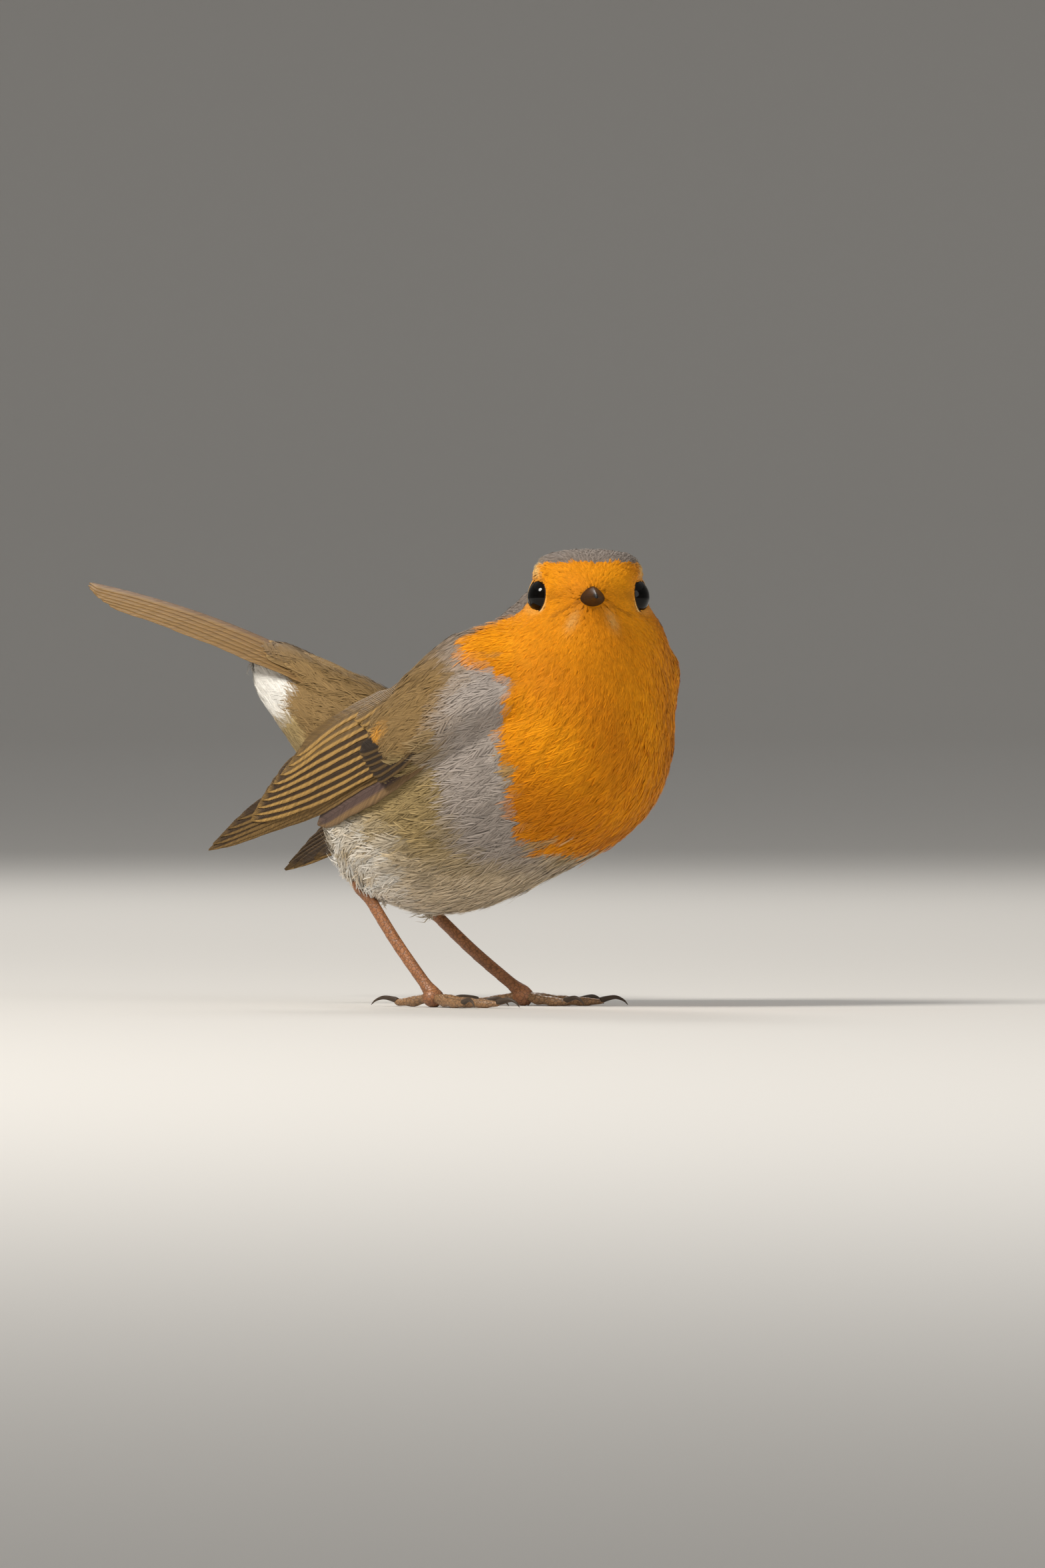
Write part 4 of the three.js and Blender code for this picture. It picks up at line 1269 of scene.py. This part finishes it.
def tube(points, radii, sides, aside=None):
    """Rings round a path. radii gives for each ring its half width and its half heights above and below."""
    points = np.asarray(points)
    ahead = unit(np.gradient(points, axis=0))
    rings = []
    for point, way, (wide, above, below) in zip(points, ahead, radii):
        across = np.cross([0, 0, 1.0], way) if aside is None else np.array(aside)
        across = across - way * (across @ way)
        across /= np.linalg.norm(across)
        up = np.cross(way, across)
        turns = full_turn(sides)
        high = np.where(np.sin(turns) > 0, above, below)
        rings.append(point + np.outer(np.cos(turns) * wide, across) + np.outer(np.sin(turns) * high, up))
    return rings


def curve_through(points, count):
    """Evenly spaced points on a smooth curve through the given ones."""
    points = np.asarray(points, dtype=float)
    padded = np.vstack([2 * points[0] - points[1], points, 2 * points[-1] - points[-2]])
    fine = []
    for i in range(1, len(padded) - 2):
        a, b, c, d = padded[i - 1 : i + 3]
        square, cube = 2 * a - 5 * b + 4 * c - d, 3 * b - a - 3 * c + d
        for t in np.linspace(0, 1, 24, endpoint=False):
            fine.append(0.5 * (2 * b + (c - a) * t + square * t**2 + cube * t**3))
    fine = np.array([*fine, points[-1]])
    run = np.concatenate([[0], np.cumsum(np.linalg.norm(np.diff(fine, axis=0), axis=1))])
    at = np.linspace(0, run[-1], count)
    return np.stack([np.interp(at, run, fine[:, i]) for i in range(3)], axis=1)


def horn_material(name, hue, paler, rough):
    """Keratin horn, grown and worn smooth: semi-gloss, a little paler and duller where it is worn."""
    material, tree = new_material(name)
    place_at = add(tree, "ShaderNodeTexCoord").outputs["Object"]
    worn = {"Vector": place_at, "Scale": 1 / (WORN_PATCH * MM), "Detail": 5.0, "Roughness": 0.6}
    patches = add(tree, "ShaderNodeTexNoise", worn)
    hue_ramp = add(tree, "ShaderNodeMix", {"Factor": patches.outputs[0]}, data_type="RGBA")
    hue_ramp.inputs[6].default_value = (*hue, 1.0)
    hue_ramp.inputs[7].default_value = (*paler, 1.0)
    gloss = add(tree, "ShaderNodeMapRange", {"Value": patches.outputs[0], 3: rough - 0.08, 4: rough + 0.12})
    grain = {"Vector": place_at, "Scale": 1 / (HORN_GRAIN * MM), "Detail": 2.0}
    fine = add(tree, "ShaderNodeTexNoise", grain)
    bump = add(tree, "ShaderNodeBump", {"Strength": 0.25, "Distance": 0.00004, "Height": fine.outputs[0]})
    shader = add(
        tree,
        "ShaderNodeBsdfPrincipled",
        {
            "Base Color": hue_ramp.outputs[2],
            "Roughness": gloss.outputs[0],
            "IOR": 1.35,
            "Specular IOR Level": 0.3,
            "Normal": bump.outputs[0],
        },
    )
    finish_material(tree, shader)
    return material


def scaly_material(name, hue, dark):
    """Horny scales of a leg, grown edge to edge: waxy, darker in the creases between them."""
    material, tree = new_material(name)
    place_at = add(tree, "ShaderNodeTexCoord").outputs["Object"]
    cells = {"Vector": place_at, "Scale": 1 / (SCALE_WIDTH * MM)}
    scales = add(tree, "ShaderNodeTexVoronoi", cells, feature="DISTANCE_TO_EDGE")
    crease = {"Value": scales.outputs["Distance"], 1: 0.0, 2: 0.12, 3: 0.0, 4: 1.0}
    seam = add(tree, "ShaderNodeMapRange", crease)
    stain = {"Vector": place_at, "Scale": 1 / (STAIN_PATCH * MM), "Detail": 4.0}
    patches = add(tree, "ShaderNodeTexNoise", stain)
    amount = add(tree, "ShaderNodeMath", {0: seam.outputs[0], 1: patches.outputs[0]}, operation="MULTIPLY")
    amount = add(tree, "ShaderNodeMapRange", {"Value": amount.outputs[0], 1: 0.05, 2: 0.6})
    mixed = add(tree, "ShaderNodeMix", {"Factor": amount.outputs[0]}, data_type="RGBA")
    mixed.inputs[6].default_value = (*dark, 1.0)
    mixed.inputs[7].default_value = (*hue, 1.0)
    bump = add(tree, "ShaderNodeBump", {"Strength": 0.5, "Distance": 0.00008, "Height": seam.outputs[0]})
    shader = add(
        tree,
        "ShaderNodeBsdfPrincipled",
        {
            "Base Color": mixed.outputs[2],
            "Roughness": 0.42,
            "Specular IOR Level": 0.5,
            "Subsurface Weight": 0.12,
            "Subsurface Radius": (0.001, 0.0005, 0.0003),
            "Subsurface Scale": 0.5,
            "Normal": bump.outputs[0],
        },
    )
    finish_material(tree, shader)
    return material


# ------------------------------------------------------------------ bill and eyes
# The bill ahead of the point between the eyes: its end in the skull, where it leaves the face, and its tip.
BILL_ROOT = 5.5
BILL_FACE = 7.5
BILL_TIP = 19.6
OVERBITE = 0.7  # how much further the upper half reaches


def bill_half(upper):
    """One half of the bill, lofted from inside the face to its tip."""
    rings = []
    length = (BILL_TIP if upper else BILL_TIP - OVERBITE) - BILL_FACE
    stations = BILL_FACE + length * np.linspace(0.05, 1, 26) ** 0.9
    for x in (BILL_ROOT, BILL_FACE, *stations):
        t = max((x - BILL_FACE) / length, 0.0)
        droop = -1.0 - 0.6 * t * t - (0.28 * smooth(t, 0.86, 1.0) if upper else 0.0)
        wide = 2.45 * (1 - t) ** 0.95 + 0.18
        deep = (2.3 * (1 - t) ** 0.85 + 0.2) if upper else (1.7 * (1 - t) ** 0.9 + 0.12)
        ring = []
        for turn in full_turn(24):
            out, over = math.cos(turn), math.sin(turn)
            if over > 0:
                # The culmen and the keel are ridges, narrower than the cutting edges.
                ridge = 1.4 if upper else 1.15
                y, z = wide * np.sign(out) * abs(out) ** ridge, 0.05 + deep * over ** (ridge - 0.1)
            else:
                y, z = wide * out, 0.05 + 0.35 * over * min(wide, 1.0)
            ring.append(in_head(x, y, droop + (z if upper else -z)))
        rings.append(ring)
    return lofted(rings)


EYE_AXIS = (0.5, 1.0, 0.08)  # the way an eye looks: forward, outward and up
PUPIL = (0.0015, 0.0012, 0.001, 1.0)  # all but black
# The lid in section: radius from the eye's axis and distance out from the eyeball's centre.
LID_SECTION = ((2.8, 2.0), (2.82, 2.2), (2.92, 2.3), (3.05, 2.2), (3.2, 1.8), (3.5, 0.9))
# Rows of tiny feathers round the lid: how many, the radius they start at, their length and how high they sit.
EYE_ROWS = ((90, 2.92, 0.6, 0.0), (100, 3.15, 0.9, -0.1), (110, 3.6, 1.15, -0.2))


def eye_place(side):
    """Centre of an eye, the way it looks, and two directions across that, in the trunk's frame."""
    axis = EYE_AXIS[0] * FORWARD + side * EYE_AXIS[1] * LEFT + EYE_AXIS[2] * UP
    axis = axis / np.linalg.norm(axis)
    across = np.cross(axis, UP)
    across /= np.linalg.norm(across)
    return in_head(EYE_AHEAD, side * EYE_SPREAD, 0.0), axis, across, np.cross(across, axis)


def lid_rings(side):
    """The bare rim of an eye: a thin lid that lies on the eyeball and slopes under the feathers."""
    centre, axis, across, up = eye_place(side)
    turns = full_turn(40)
    # The opening is a little longer than high.
    stretch = 1 + 0.03 * np.cos(turns) ** 2
    rings = []
    for radius, out in LID_SECTION:
        ring = centre + axis * out + np.outer(np.cos(turns) * radius * stretch, across)
        rings.append(ring + np.outer(np.sin(turns) * radius, up))
    return rings


def eye_ring(side, rng):
    """Three rows of tiny feathers round the bare rim, palest below and behind the eye. Each is one ribbon."""
    centre, axis, across, up = eye_place(side)
    forward = across * np.sign(across @ FORWARD)
    points, normals, hues, tones, strands = [], [], [], [], []
    pale, orange = np.array(linear(EYE_RING_PALE)), np.array(bpy.context.scene.robin_plumage.orange)
    wide = 0.17
    for count, start, reach, low in EYE_ROWS:
        for i in range(count):
            turn = 2 * math.pi * (i + 0.5 * (start > 3.2)) / count
            out = forward * math.cos(turn) + up * math.sin(turn)
            beside = np.cross(axis, out)
            low_and_back = np.clip(0.45 - 0.62 * math.sin(turn) - 0.45 * math.cos(turn), 0, 1)
            paleness = low_and_back * (1.0 if start < 3.1 else 0.5)
            long = reach * rng.uniform(0.85, 1.15)
            root = centre + out * start + axis * (2.12 + low - 0.5 * (start - 3.0))
            tip = centre + out * (start + long) + axis * (2.2 + low - 0.62 * (start - 3.0) - 0.42 * long)
            middle = root * 0.45 + tip * 0.55 + axis * 0.1
            for at, half, lean in ((root, wide * 0.6, 0.2), (middle, wide, 0.4)):
                points += [at + beside * half, at - beside * half]
                normals += [axis + out * lean + beside * 0.3, axis + out * lean - beside * 0.3]
            points.append(tip)
            normals.append(axis + out * 0.6)
            hues += [orange + (pale - orange) * paleness] * 5
            tones += [rng.uniform(0.92, 1.08)] * 5
            strands += (rng.uniform(0, 200) + np.array([0.9, -0.9, 0.8, -0.8, 0.0])).tolist()
    feathers = len(points) // 5
    # Each has its own patch of the bake map, in order round the eye.
    at = np.arange(feathers)
    corner = np.stack([0.02 + 0.94 * (at % 100) / 100, 0.2 + 0.2 * (at // 100)], axis=1)
    patch = np.array([[0, 0], [0.003, 0], [0, 0.0015], [0.003, 0.0015], [0.0015, 0.003]])
    uvs = (corner[:, None] + patch).reshape(-1, 2)
    values = {
        "along": np.tile([0.5, 0.5, 0.8, 0.8, 1.0], feathers),
        "strand": np.array(strands),
        "tone": np.array(tones),
        "plumage": np.array(hues),
    }
    shade = unit(np.array(normals))
    return mesh_from_arrays("eye ring", np.array(points), ribbon_triangles(feathers), shade, uvs, values)


# ------------------------------------------------------------------ legs
# Each foot's middle and each heel in the trunk's frame, and the degrees that the foot is turned outward.
STANCE = {
    "right": {"side": -1, "foot": (-7.0, -9.0, 1.75), "heel": (-22.2, -8.0, 21.4), "heading": -6.0},
    "left": {"side": 1, "foot": (0.6, 9.5, 1.75), "heel": (-18.4, 7.5, 18.0), "heading": 20.0},
}
# Turn from the foot's heading in degrees, length from the pad's middle, number of pads and the claw's length.
TOES = {
    "middle": (0, 14.5, 4, 4.6),
    "inner": (-27, 9.8, 3, 4.0),
    "outer": (24, 11.0, 3, 4.0),
    "hallux": (183, 8.6, 2, 5.8),
}
TOE_START = 1.75  # from the pad's middle
FLOOR_GAP = 0.03


def on_floor(rings):
    """Rings with what would be below the floor pressed flat just above it."""
    return [np.column_stack([ring[:, :2], np.maximum(ring[:, 2], FLOOR_GAP)]) for ring in rings]


def on_toe(stance, turn, s, z):
    """A point along a toe, at a height over the floor."""
    angle = math.radians(stance["heading"] + stance["side"] * turn)
    x, y, _ = stance["foot"]
    return np.array([x + math.cos(angle) * (s + TOE_START), y + math.sin(angle) * (s + TOE_START), z])


def toe_rings(stance, turn, length, pads):
    """A toe from inside the foot to its last joint: pads below, overlapping scales above."""
    end = length - TOE_START
    way = [(-1.6, 1.6), (0, 1.5), (length * 0.3, 1.05), (length * 0.65, 0.78), (end + 0.1, 0.8)]
    path = curve_through([on_toe(stance, turn, s, z) for s, z in way], 12 * pads + 6)
    radii = []
    for i in range(len(path)):
        t = i / (len(path) - 1)
        ends = math.sqrt(max(1 - t**10, 0.08))
        pad = 0.5 + 0.5 * math.cos(2 * math.pi * pads * t)
        scale = (t * pads * 3.5) % 1.0
        wide = (0.95 - 0.27 * t) * (1 + 0.14 * (pad - 0.5)) * ends
        radii.append((wide, wide * (0.98 + 0.1 * (1 - scale)), wide * (1.0 + 0.16 * pad)))
    return on_floor(tube(path, radii, 14))


def claw_rings(stance, turn, length, claw):
    """A claw: a curved cone, flatter on its sides."""
    end = length - TOE_START
    way = [
        (end - 0.5, 0.95),
        (end + 0.35, 1.25),
        (length - 1.6 + claw * 0.42, 1.55),
        (length - 1.8 + claw * 0.78, 1.05),
        (length - 2 + claw, 0.24),
    ]
    path = curve_through([on_toe(stance, turn, s, z) for s, z in way], 18)
    radii = []
    for t in np.linspace(0, 1, len(path)):
        size = (1 - t) ** 0.75
        radii.append((0.4 * size + 0.03, 0.56 * size + 0.04, 0.5 * size + 0.04))
    return on_floor(tube(path, radii, 12))


def tarsus_rings(stance):
    """The tarsus from inside the feathered heel to the foot, with nine broad scutes in front."""
    heel, foot = np.array(stance["heel"]), np.array(stance["foot"])
    start = heel + (heel - foot) / np.linalg.norm(heel - foot) * 1.2
    half_way = heel + (foot - heel) * 0.5 + np.array([-0.25, 0, -0.15])
    way = [start, heel, half_way, foot + np.array([0, 0, 0.35]), foot + np.array([0.5, 0, -0.7])]
    path = curve_through(way, 96)
    reach = np.linalg.norm(foot - start)
    radii = []
    for point in path:
        t = np.linalg.norm(point - start) / reach
        knobs = 0.62 * hump(t, 0.06, 0.07) + 0.5 * hump(t, 1.0, 0.07)
        scute = 1 - (t * 9.0) % 1.0
        close = math.sqrt(max(1 - max(t - 1.0, 0) / 0.08, 0.05))
        radii.append(((0.88 + knobs) * close, (1.02 + knobs + 0.07 * scute) * close, (1.08 + knobs) * close))
    return on_floor(tube(path, radii, 18, aside=(0, -1, 0)))


def pad_rings(stance):
    """The pad under the foot where the toes meet."""
    foot = stance["foot"]
    turns = full_turn(18)
    rings = []
    for i in range(1, 12):
        down = math.pi * i / 12
        wide, z = 1.95 * math.sin(down), foot[2] - 0.05 + 1.72 * math.cos(down)
        ring = [foot[0] + wide * np.cos(turns), foot[1] + wide * np.sin(turns), np.full(len(turns), z)]
        rings.append(np.column_stack(ring))
    return on_floor(rings)


# ------------------------------------------------------------------ operators
class ROBIN_OT_skin(bpy.types.Operator):
    """Makes the one skin that replaces the solids of flesh"""

    bl_idname = "robin.skin"
    bl_label = "Skin"

    def execute(self, context):
        outline = outline_mesh()
        measure_flanks(outline)
        mesh = skin_mesh(outline)
        bpy.data.meshes.remove(outline)
        skin = object_of(mesh, "skin", (*FLESH, *COVERTS))
        unwrap(skin)
        # Down on skin: matt, and a little darker than the feathers over it, as the shade between them.
        material, tree = new_material("skin_under_feathers")
        hue = add(tree, "ShaderNodeAttribute", attribute_name="plumage")
        dark = add(tree, "ShaderNodeHueSaturation", {"Value": 0.85, "Color": hue.outputs["Color"]})
        matt = {"Base Color": dark.outputs[0], "Roughness": 0.9, "Specular IOR Level": 0.1}
        finish_material(tree, add(tree, "ShaderNodeBsdfPrincipled", matt))
        mesh.materials.append(material)
        points, _ = points_of(mesh)
        colours = np.ones((len(points), 4), dtype=np.float32)
        colours[:, :3] = markings(points)
        mesh.attributes.new("plumage", "FLOAT_COLOR", "POINT").data.foreach_set("color", colours.ravel())
        return {"FINISHED"}


def within(low, high, side=0, part=None):
    """A test of points: within two distances from the bill, on a side or both, over or under the flank."""

    def test(points):
        away = from_bill(points)
        inside = (away >= low) & (away < high)
        if side:
            inside &= points[:, 1] * side >= 0
        if part:
            above = points[:, 2] > np.interp(points[:, 0], [-45, -25, 4, 14], [50, 40, 42, 52])
            inside &= above if part == "upper" else ~above
        return inside.astype(float)

    return test


class ROBIN_OT_coat(bpy.types.Operator):
    """Covers the skin with body feathers"""

    bl_idname = "robin.coat"
    bl_label = "Body feathers"

    def execute(self, context):
        plumage_material()
        surface = Surface(bpy.data.objects["skin"].data)
        rng = np.random.default_rng(SEED)
        # A piece's stretch of the body, how close its feathers stand, their barbs to a side, slot and tone.
        rows = [
            ("face", within(0, 10), 1.15, 6, "orange_plumage", 0.06),
            ("head", within(10, 20), 1.1, 8, "orange_plumage", 0.06),
        ]
        for side, name in ((-1, "right"), (1, "left")):
            rows += [
                (f"neck_{name}", within(20, 34, side), 1.1, 11, "orange_plumage", 0.065),
                (f"side_{name}", within(34, 200, side, "upper"), 1.0, 12, "olive_plumage", 0.065),
                (f"breast_{name}", within(34, 48, side, "lower"), 1.25, 12, "orange_plumage", 0.065),
                (f"belly_{name}", within(48, 200, side, "lower"), 1.1, 12, "pale_plumage", 0.1),
            ]
        for name, where, close, per_side, slot, tone in rows:
            dress(f"coat_{name}", surface, tract(where, close), per_side, rng, tone)
        return {"FINISHED"}


class ROBIN_OT_wings(bpy.types.Operator):
    """Makes the flight feathers and coverts of both wings"""

    bl_idname = "robin.wings"
    bl_label = "Wings"

    def execute(self, context):
        vane_material()
        rng = np.random.default_rng(SEED + 1)
        for side, name in ((-1, "right"), (1, "left")):
            nodes = (f"wing_{name}_primaries", f"wing_{name}_secondaries")
            vanes(f"flight_feathers_{name}", wing_vanes(), on_wing, nodes, side, rng)
            vanes(f"coverts_{name}", covert_vanes(), on_wing, (), side, rng)
        return {"FINISHED"}


class ROBIN_OT_tail(bpy.types.Operator):
    """Makes the tail feathers and the coverts over and under them"""

    bl_idname = "robin.tail"
    bl_label = "Tail"

    def execute(self, context):
        rng = np.random.default_rng(SEED + 2)
        for side, name in ((-1, "right"), (1, "left")):
            vanes(f"tail_feathers_{name}", tail_vanes(), on_tail, (f"tail_{name}",), side, rng)
            upper, under = tail_covert_vanes(False), tail_covert_vanes(True)
            vanes(f"uppertail_coverts_{name}", upper, over_tail, (), side, rng)
            vanes(f"undertail_coverts_{name}", under, under_tail, (), side, rng)
        return {"FINISHED"}


def wet_eye_material():
    """A wet cornea over a brown-black iris: mirror-smooth, so that it shows the lamps, with a black pupil."""
    wet, tree = new_material("wet_eye")
    facing = add(tree, "ShaderNodeAttribute", attribute_name="pupil").outputs["Fac"]
    iris = add(tree, "ShaderNodeMapRange", {"Value": facing, 1: 0.80, 2: 0.84, 3: 1.0, 4: 0.0})
    mixed = add(tree, "ShaderNodeMix", {"Factor": iris.outputs[0]}, data_type="RGBA")
    mixed.inputs[6].default_value = PUPIL
    mixed.inputs[7].default_value = (*bpy.context.scene.robin_bare.eye, 1.0)
    shader = add(
        tree,
        "ShaderNodeBsdfPrincipled",
        {
            "Base Color": mixed.outputs[2],
            "Roughness": 0.06,
            "IOR": 1.3,
            "Specular IOR Level": 0.3,
            "Coat Weight": 0.25,
            "Coat Roughness": 0.02,
            "Coat IOR": 1.35,
        },
    )
    finish_material(tree, shader)
    return wet


def eyeball(side):
    """An eyeball whose poles lie on the way it looks. Its attribute pupil is 1 in the middle of the front."""
    centre, axis, _, _ = eye_place(side)
    bm = bmesh.new()
    made = bmesh.ops.create_uvsphere(bm, u_segments=48, v_segments=32, radius=EYE_RADIUS * MM)
    turn = Vector((0, 0, 1)).rotation_difference(Vector(axis)).to_matrix()
    bmesh.ops.transform(bm, matrix=turn.to_4x4(), verts=made["verts"])
    bmesh.ops.translate(bm, vec=Vector(place(centre)), verts=made["verts"])
    for face in bm.faces:
        face.smooth = True
    mesh = mesh_of(bm, "eye")
    points, _ = points_of(mesh)
    facing = ((points - centre) @ axis / EYE_RADIUS).astype(np.float32)
    mesh.attributes.new("pupil", "FLOAT", "POINT").data.foreach_set("value", facing)
    return mesh


class ROBIN_OT_eyes(bpy.types.Operator):
    """Makes the eyes, their bare rims and the rings of tiny feathers round them"""

    bl_idname = "robin.eyes"
    bl_label = "Eyes"

    def execute(self, context):
        wet = wet_eye_material()
        lid_hue = np.array(context.scene.robin_bare.lid)
        # The lid's bare skin is dry and matt, with fine creases.
        rim = horn_material("eyelid_bare_skin", lid_hue, lid_hue * 2.2, 0.5)
        rng = np.random.default_rng(SEED + 3)
        for side, name in ((-1, "right"), (1, "left")):
            ball = eyeball(side)
            ball.materials.append(wet)
            object_of(ball, f"eyeball_{name}", (f"eye_{name}",))
            lid = mesh_of(lofted(lid_rings(side), closed=False), "lid")
            lid.materials.append(rim)
            object_of(lid, f"eyelid_{name}")
            ring = eye_ring(side, rng)
            ring.materials.append(bpy.data.materials["feather_keratin_soft"])
            object_of(ring, f"eye_ring_{name}")
        return {"FINISHED"}


class ROBIN_OT_bill(bpy.types.Operator):
    """Makes both halves of the bill"""

    bl_idname = "robin.bill"
    bl_label = "Bill"

    def execute(self, context):
        bare = context.scene.robin_bare
        horn = horn_material("bill_horn", bare.bill, np.array(bare.bill) * 2.2 + 0.006, 0.42)
        for name in ("upper", "lower"):
            mesh = mesh_of(bill_half(name == "upper"), "bill")
            mesh.materials.append(horn)
            object_of(mesh, f"horn_{name}", (f"bill_{name}",))
        return {"FINISHED"}


class ROBIN_OT_legs(bpy.types.Operator):
    """Makes the scaly legs, the toes and the claws"""

    bl_idname = "robin.legs"
    bl_label = "Legs"

    def execute(self, context):
        bare = context.scene.robin_bare
        shank = scaly_material("tarsus_scales", bare.tarsus, np.array(bare.tarsus) * 0.45)
        scales = scaly_material("toe_scales", bare.toe, np.array(bare.toe) * 0.42)
        horn = horn_material("claw_horn", bare.claw, np.array(bare.claw) * 0.5, 0.38)
        for name, stance in STANCE.items():
            bm = lofted(tarsus_rings(stance))
            pad = mesh_of(lofted(pad_rings(stance)), "pad")
            bm.from_mesh(pad)
            bpy.data.meshes.remove(pad)
            mesh = mesh_of(bm, "tarsus")
            mesh.materials.append(shank)
            object_of(mesh, f"shank_{name}", (f"leg_{name}_tarsus",))
            for kind, (turn, length, pads, claw) in TOES.items():
                mesh = mesh_of(lofted(toe_rings(stance, turn, length, pads)), "toe")
                mesh.materials.append(scales)
                object_of(mesh, f"digit_{name}_{kind}", (f"toe_{name}_{kind}",))
                mesh = mesh_of(lofted(claw_rings(stance, turn, length, claw)), "claw")
                mesh.materials.append(horn)
                object_of(mesh, f"nail_{name}_{kind}", (f"claw_{name}_{kind}",))
        return {"FINISHED"}


# The floor's edge turns up into a wall behind: radius and height in metres.
FLOOR_RADIUS = 6.0
WALL = ((7.2, 0.12), (8.2, 0.5), (8.8, 1.2), (9.0, 2.4), (9.0, 6.0))
ROOM_STRENGTH = 0.33


def floor_mesh():
    """A round floor whose edge sweeps up all round."""
    bm = bmesh.new()
    bmesh.ops.create_circle(bm, cap_ends=True, segments=96, radius=FLOOR_RADIUS)
    ring = [e for e in bm.edges if e.is_boundary]
    for radius, height in WALL:
        grown = bmesh.ops.extrude_edge_only(bm, edges=ring)["geom"]
        for vert in (g for g in grown if isinstance(g, bmesh.types.BMVert)):
            flat = Vector((vert.co.x, vert.co.y)).normalized() * radius
            vert.co = Vector((flat.x, flat.y, height))
        ring = [g for g in grown if isinstance(g, bmesh.types.BMEdge)]
    for face in bm.faces:
        face.smooth = True
    bmesh.ops.recalc_face_normals(bm, faces=bm.faces)
    return mesh_of(bm, "floor")


class ROBIN_OT_stage(bpy.types.Operator):
    """Floor, soft lights and camera"""

    bl_idname = "robin.stage"
    bl_label = "Stage"

    def execute(self, context):
        stage = context.scene.robin_stage
        floor = bpy.data.objects.new("floor", floor_mesh())
        context.scene.collection.objects.link(floor)
        # Board rolled with matt paint: it shows soft shadows and no reflections.
        material, tree = new_material("painted_board_matt")
        matt = {"Base Color": (*stage.floor, 1.0), "Roughness": 0.9, "Specular IOR Level": 0.1}
        finish_material(tree, add(tree, "ShaderNodeBsdfPrincipled", matt))
        floor.data.materials.append(material)
        world = bpy.data.worlds.new("soft_room")
        context.scene.world = world
        world.use_nodes = True
        sky = world.node_tree.nodes["Background"]
        sky.inputs["Color"].default_value = (1.0, 1.0, 1.0, 1.0)
        sky.inputs["Strength"].default_value = ROOM_STRENGTH
        context.scene.view_settings.view_transform = "Standard"
        self.lamps(context, stage)
        self.camera(context, stage)
        return {"FINISHED"}

    def lamps(self, context, stage):
        """Three soft lamps that look at the bird's middle: their places from it and sizes are in metres."""
        centre = Vector(place([5.0, 0.0, 42.0]))
        for name, at, size, watts, hue in (
            ("key", (-0.42, -0.95, 0.95), 0.42, stage.key, (1.0, 0.96, 0.9)),
            ("fill", (1.2, -0.5, 0.5), 0.9, stage.fill, (0.93, 0.96, 1.0)),
            ("rim", (-0.8, 0.9, 0.9), 0.5, stage.fill * 1.4, (1.0, 0.98, 0.95)),
        ):
            light = bpy.data.lights.new(name, "AREA")
            light.shape = "DISK"
            light.size = size
            light.energy = watts
            light.color = hue
            lamp = bpy.data.objects.new(name, light)
            context.scene.collection.objects.link(lamp)
            lamp.location = centre + Vector(at)
            lamp.rotation_euler = (centre - lamp.location).to_track_quat("-Z", "Y").to_euler()

    def camera(self, context, stage):
        """The camera looks almost level from the bird's front right, for a frame of 1568 by 2352."""
        data = bpy.data.cameras.new("camera")
        data.sensor_fit = "VERTICAL"
        data.angle = 2 * math.atan(FRAME_HEIGHT * MM / 2 / stage.distance)
        data.clip_start, data.clip_end = 0.05, 40.0
        camera = bpy.data.objects.new("camera", data)
        context.scene.collection.objects.link(camera)
        right = np.array([math.cos(VIEW_AZIMUTH), math.sin(VIEW_AZIMUTH), 0.0])
        ahead = np.array([-math.sin(VIEW_AZIMUTH), math.cos(VIEW_AZIMUTH), 0.0])
        ahead = ahead * math.cos(VIEW_DROP) - np.array([0, 0, math.sin(VIEW_DROP)])
        target = right * FRAME_CENTRE[0] + np.array([0.0, 0.0, FRAME_CENTRE[1]])
        camera.location = Vector(place(target) - ahead * stage.distance)
        camera.rotation_euler = Vector(ahead).to_track_quat("-Z", "Y").to_euler()
        context.scene.camera = camera


class ROBIN_PT_panel(bpy.types.Panel):
    """The model's sizes and colours, and its steps in order"""

    bl_idname = "ROBIN_PT_panel"
    bl_label = "Robin"
    bl_space_type = "VIEW_3D"
    bl_region_type = "UI"
    bl_category = "Robin"

    def draw(self, context):
        layout = self.layout
        for group in (context.scene.robin_plumage, context.scene.robin_bare, context.scene.robin_stage):
            box = layout.box()
            for key in group.bl_rna.properties.keys():
                if key not in ("rna_type", "name"):
                    box.prop(group, key)
        for step in STEPS_IN_ORDER:
            layout.operator(f"robin.{step}")


CLASSES = (
    RobinPlumage,
    RobinBare,
    RobinStage,
    ROBIN_OT_skin,
    ROBIN_OT_coat,
    ROBIN_OT_wings,
    ROBIN_OT_tail,
    ROBIN_OT_eyes,
    ROBIN_OT_bill,
    ROBIN_OT_legs,
    ROBIN_OT_stage,
    ROBIN_PT_panel,
)
STEPS_IN_ORDER = ("skin", "coat", "wings", "tail", "eyes", "bill", "legs", "stage")


def register():
    for cls in CLASSES:
        bpy.utils.register_class(cls)
    bpy.types.Scene.robin_plumage = bpy.props.PointerProperty(type=RobinPlumage)
    bpy.types.Scene.robin_bare = bpy.props.PointerProperty(type=RobinBare)
    bpy.types.Scene.robin_stage = bpy.props.PointerProperty(type=RobinStage)


def unregister():
    del bpy.types.Scene.robin_stage
    del bpy.types.Scene.robin_bare
    del bpy.types.Scene.robin_plumage
    for cls in reversed(CLASSES):
        bpy.utils.unregister_class(cls)


def main():
    register()
    for step in STEPS_IN_ORDER:
        getattr(bpy.ops.robin, step)()


if __name__ == "__main__":
    main()
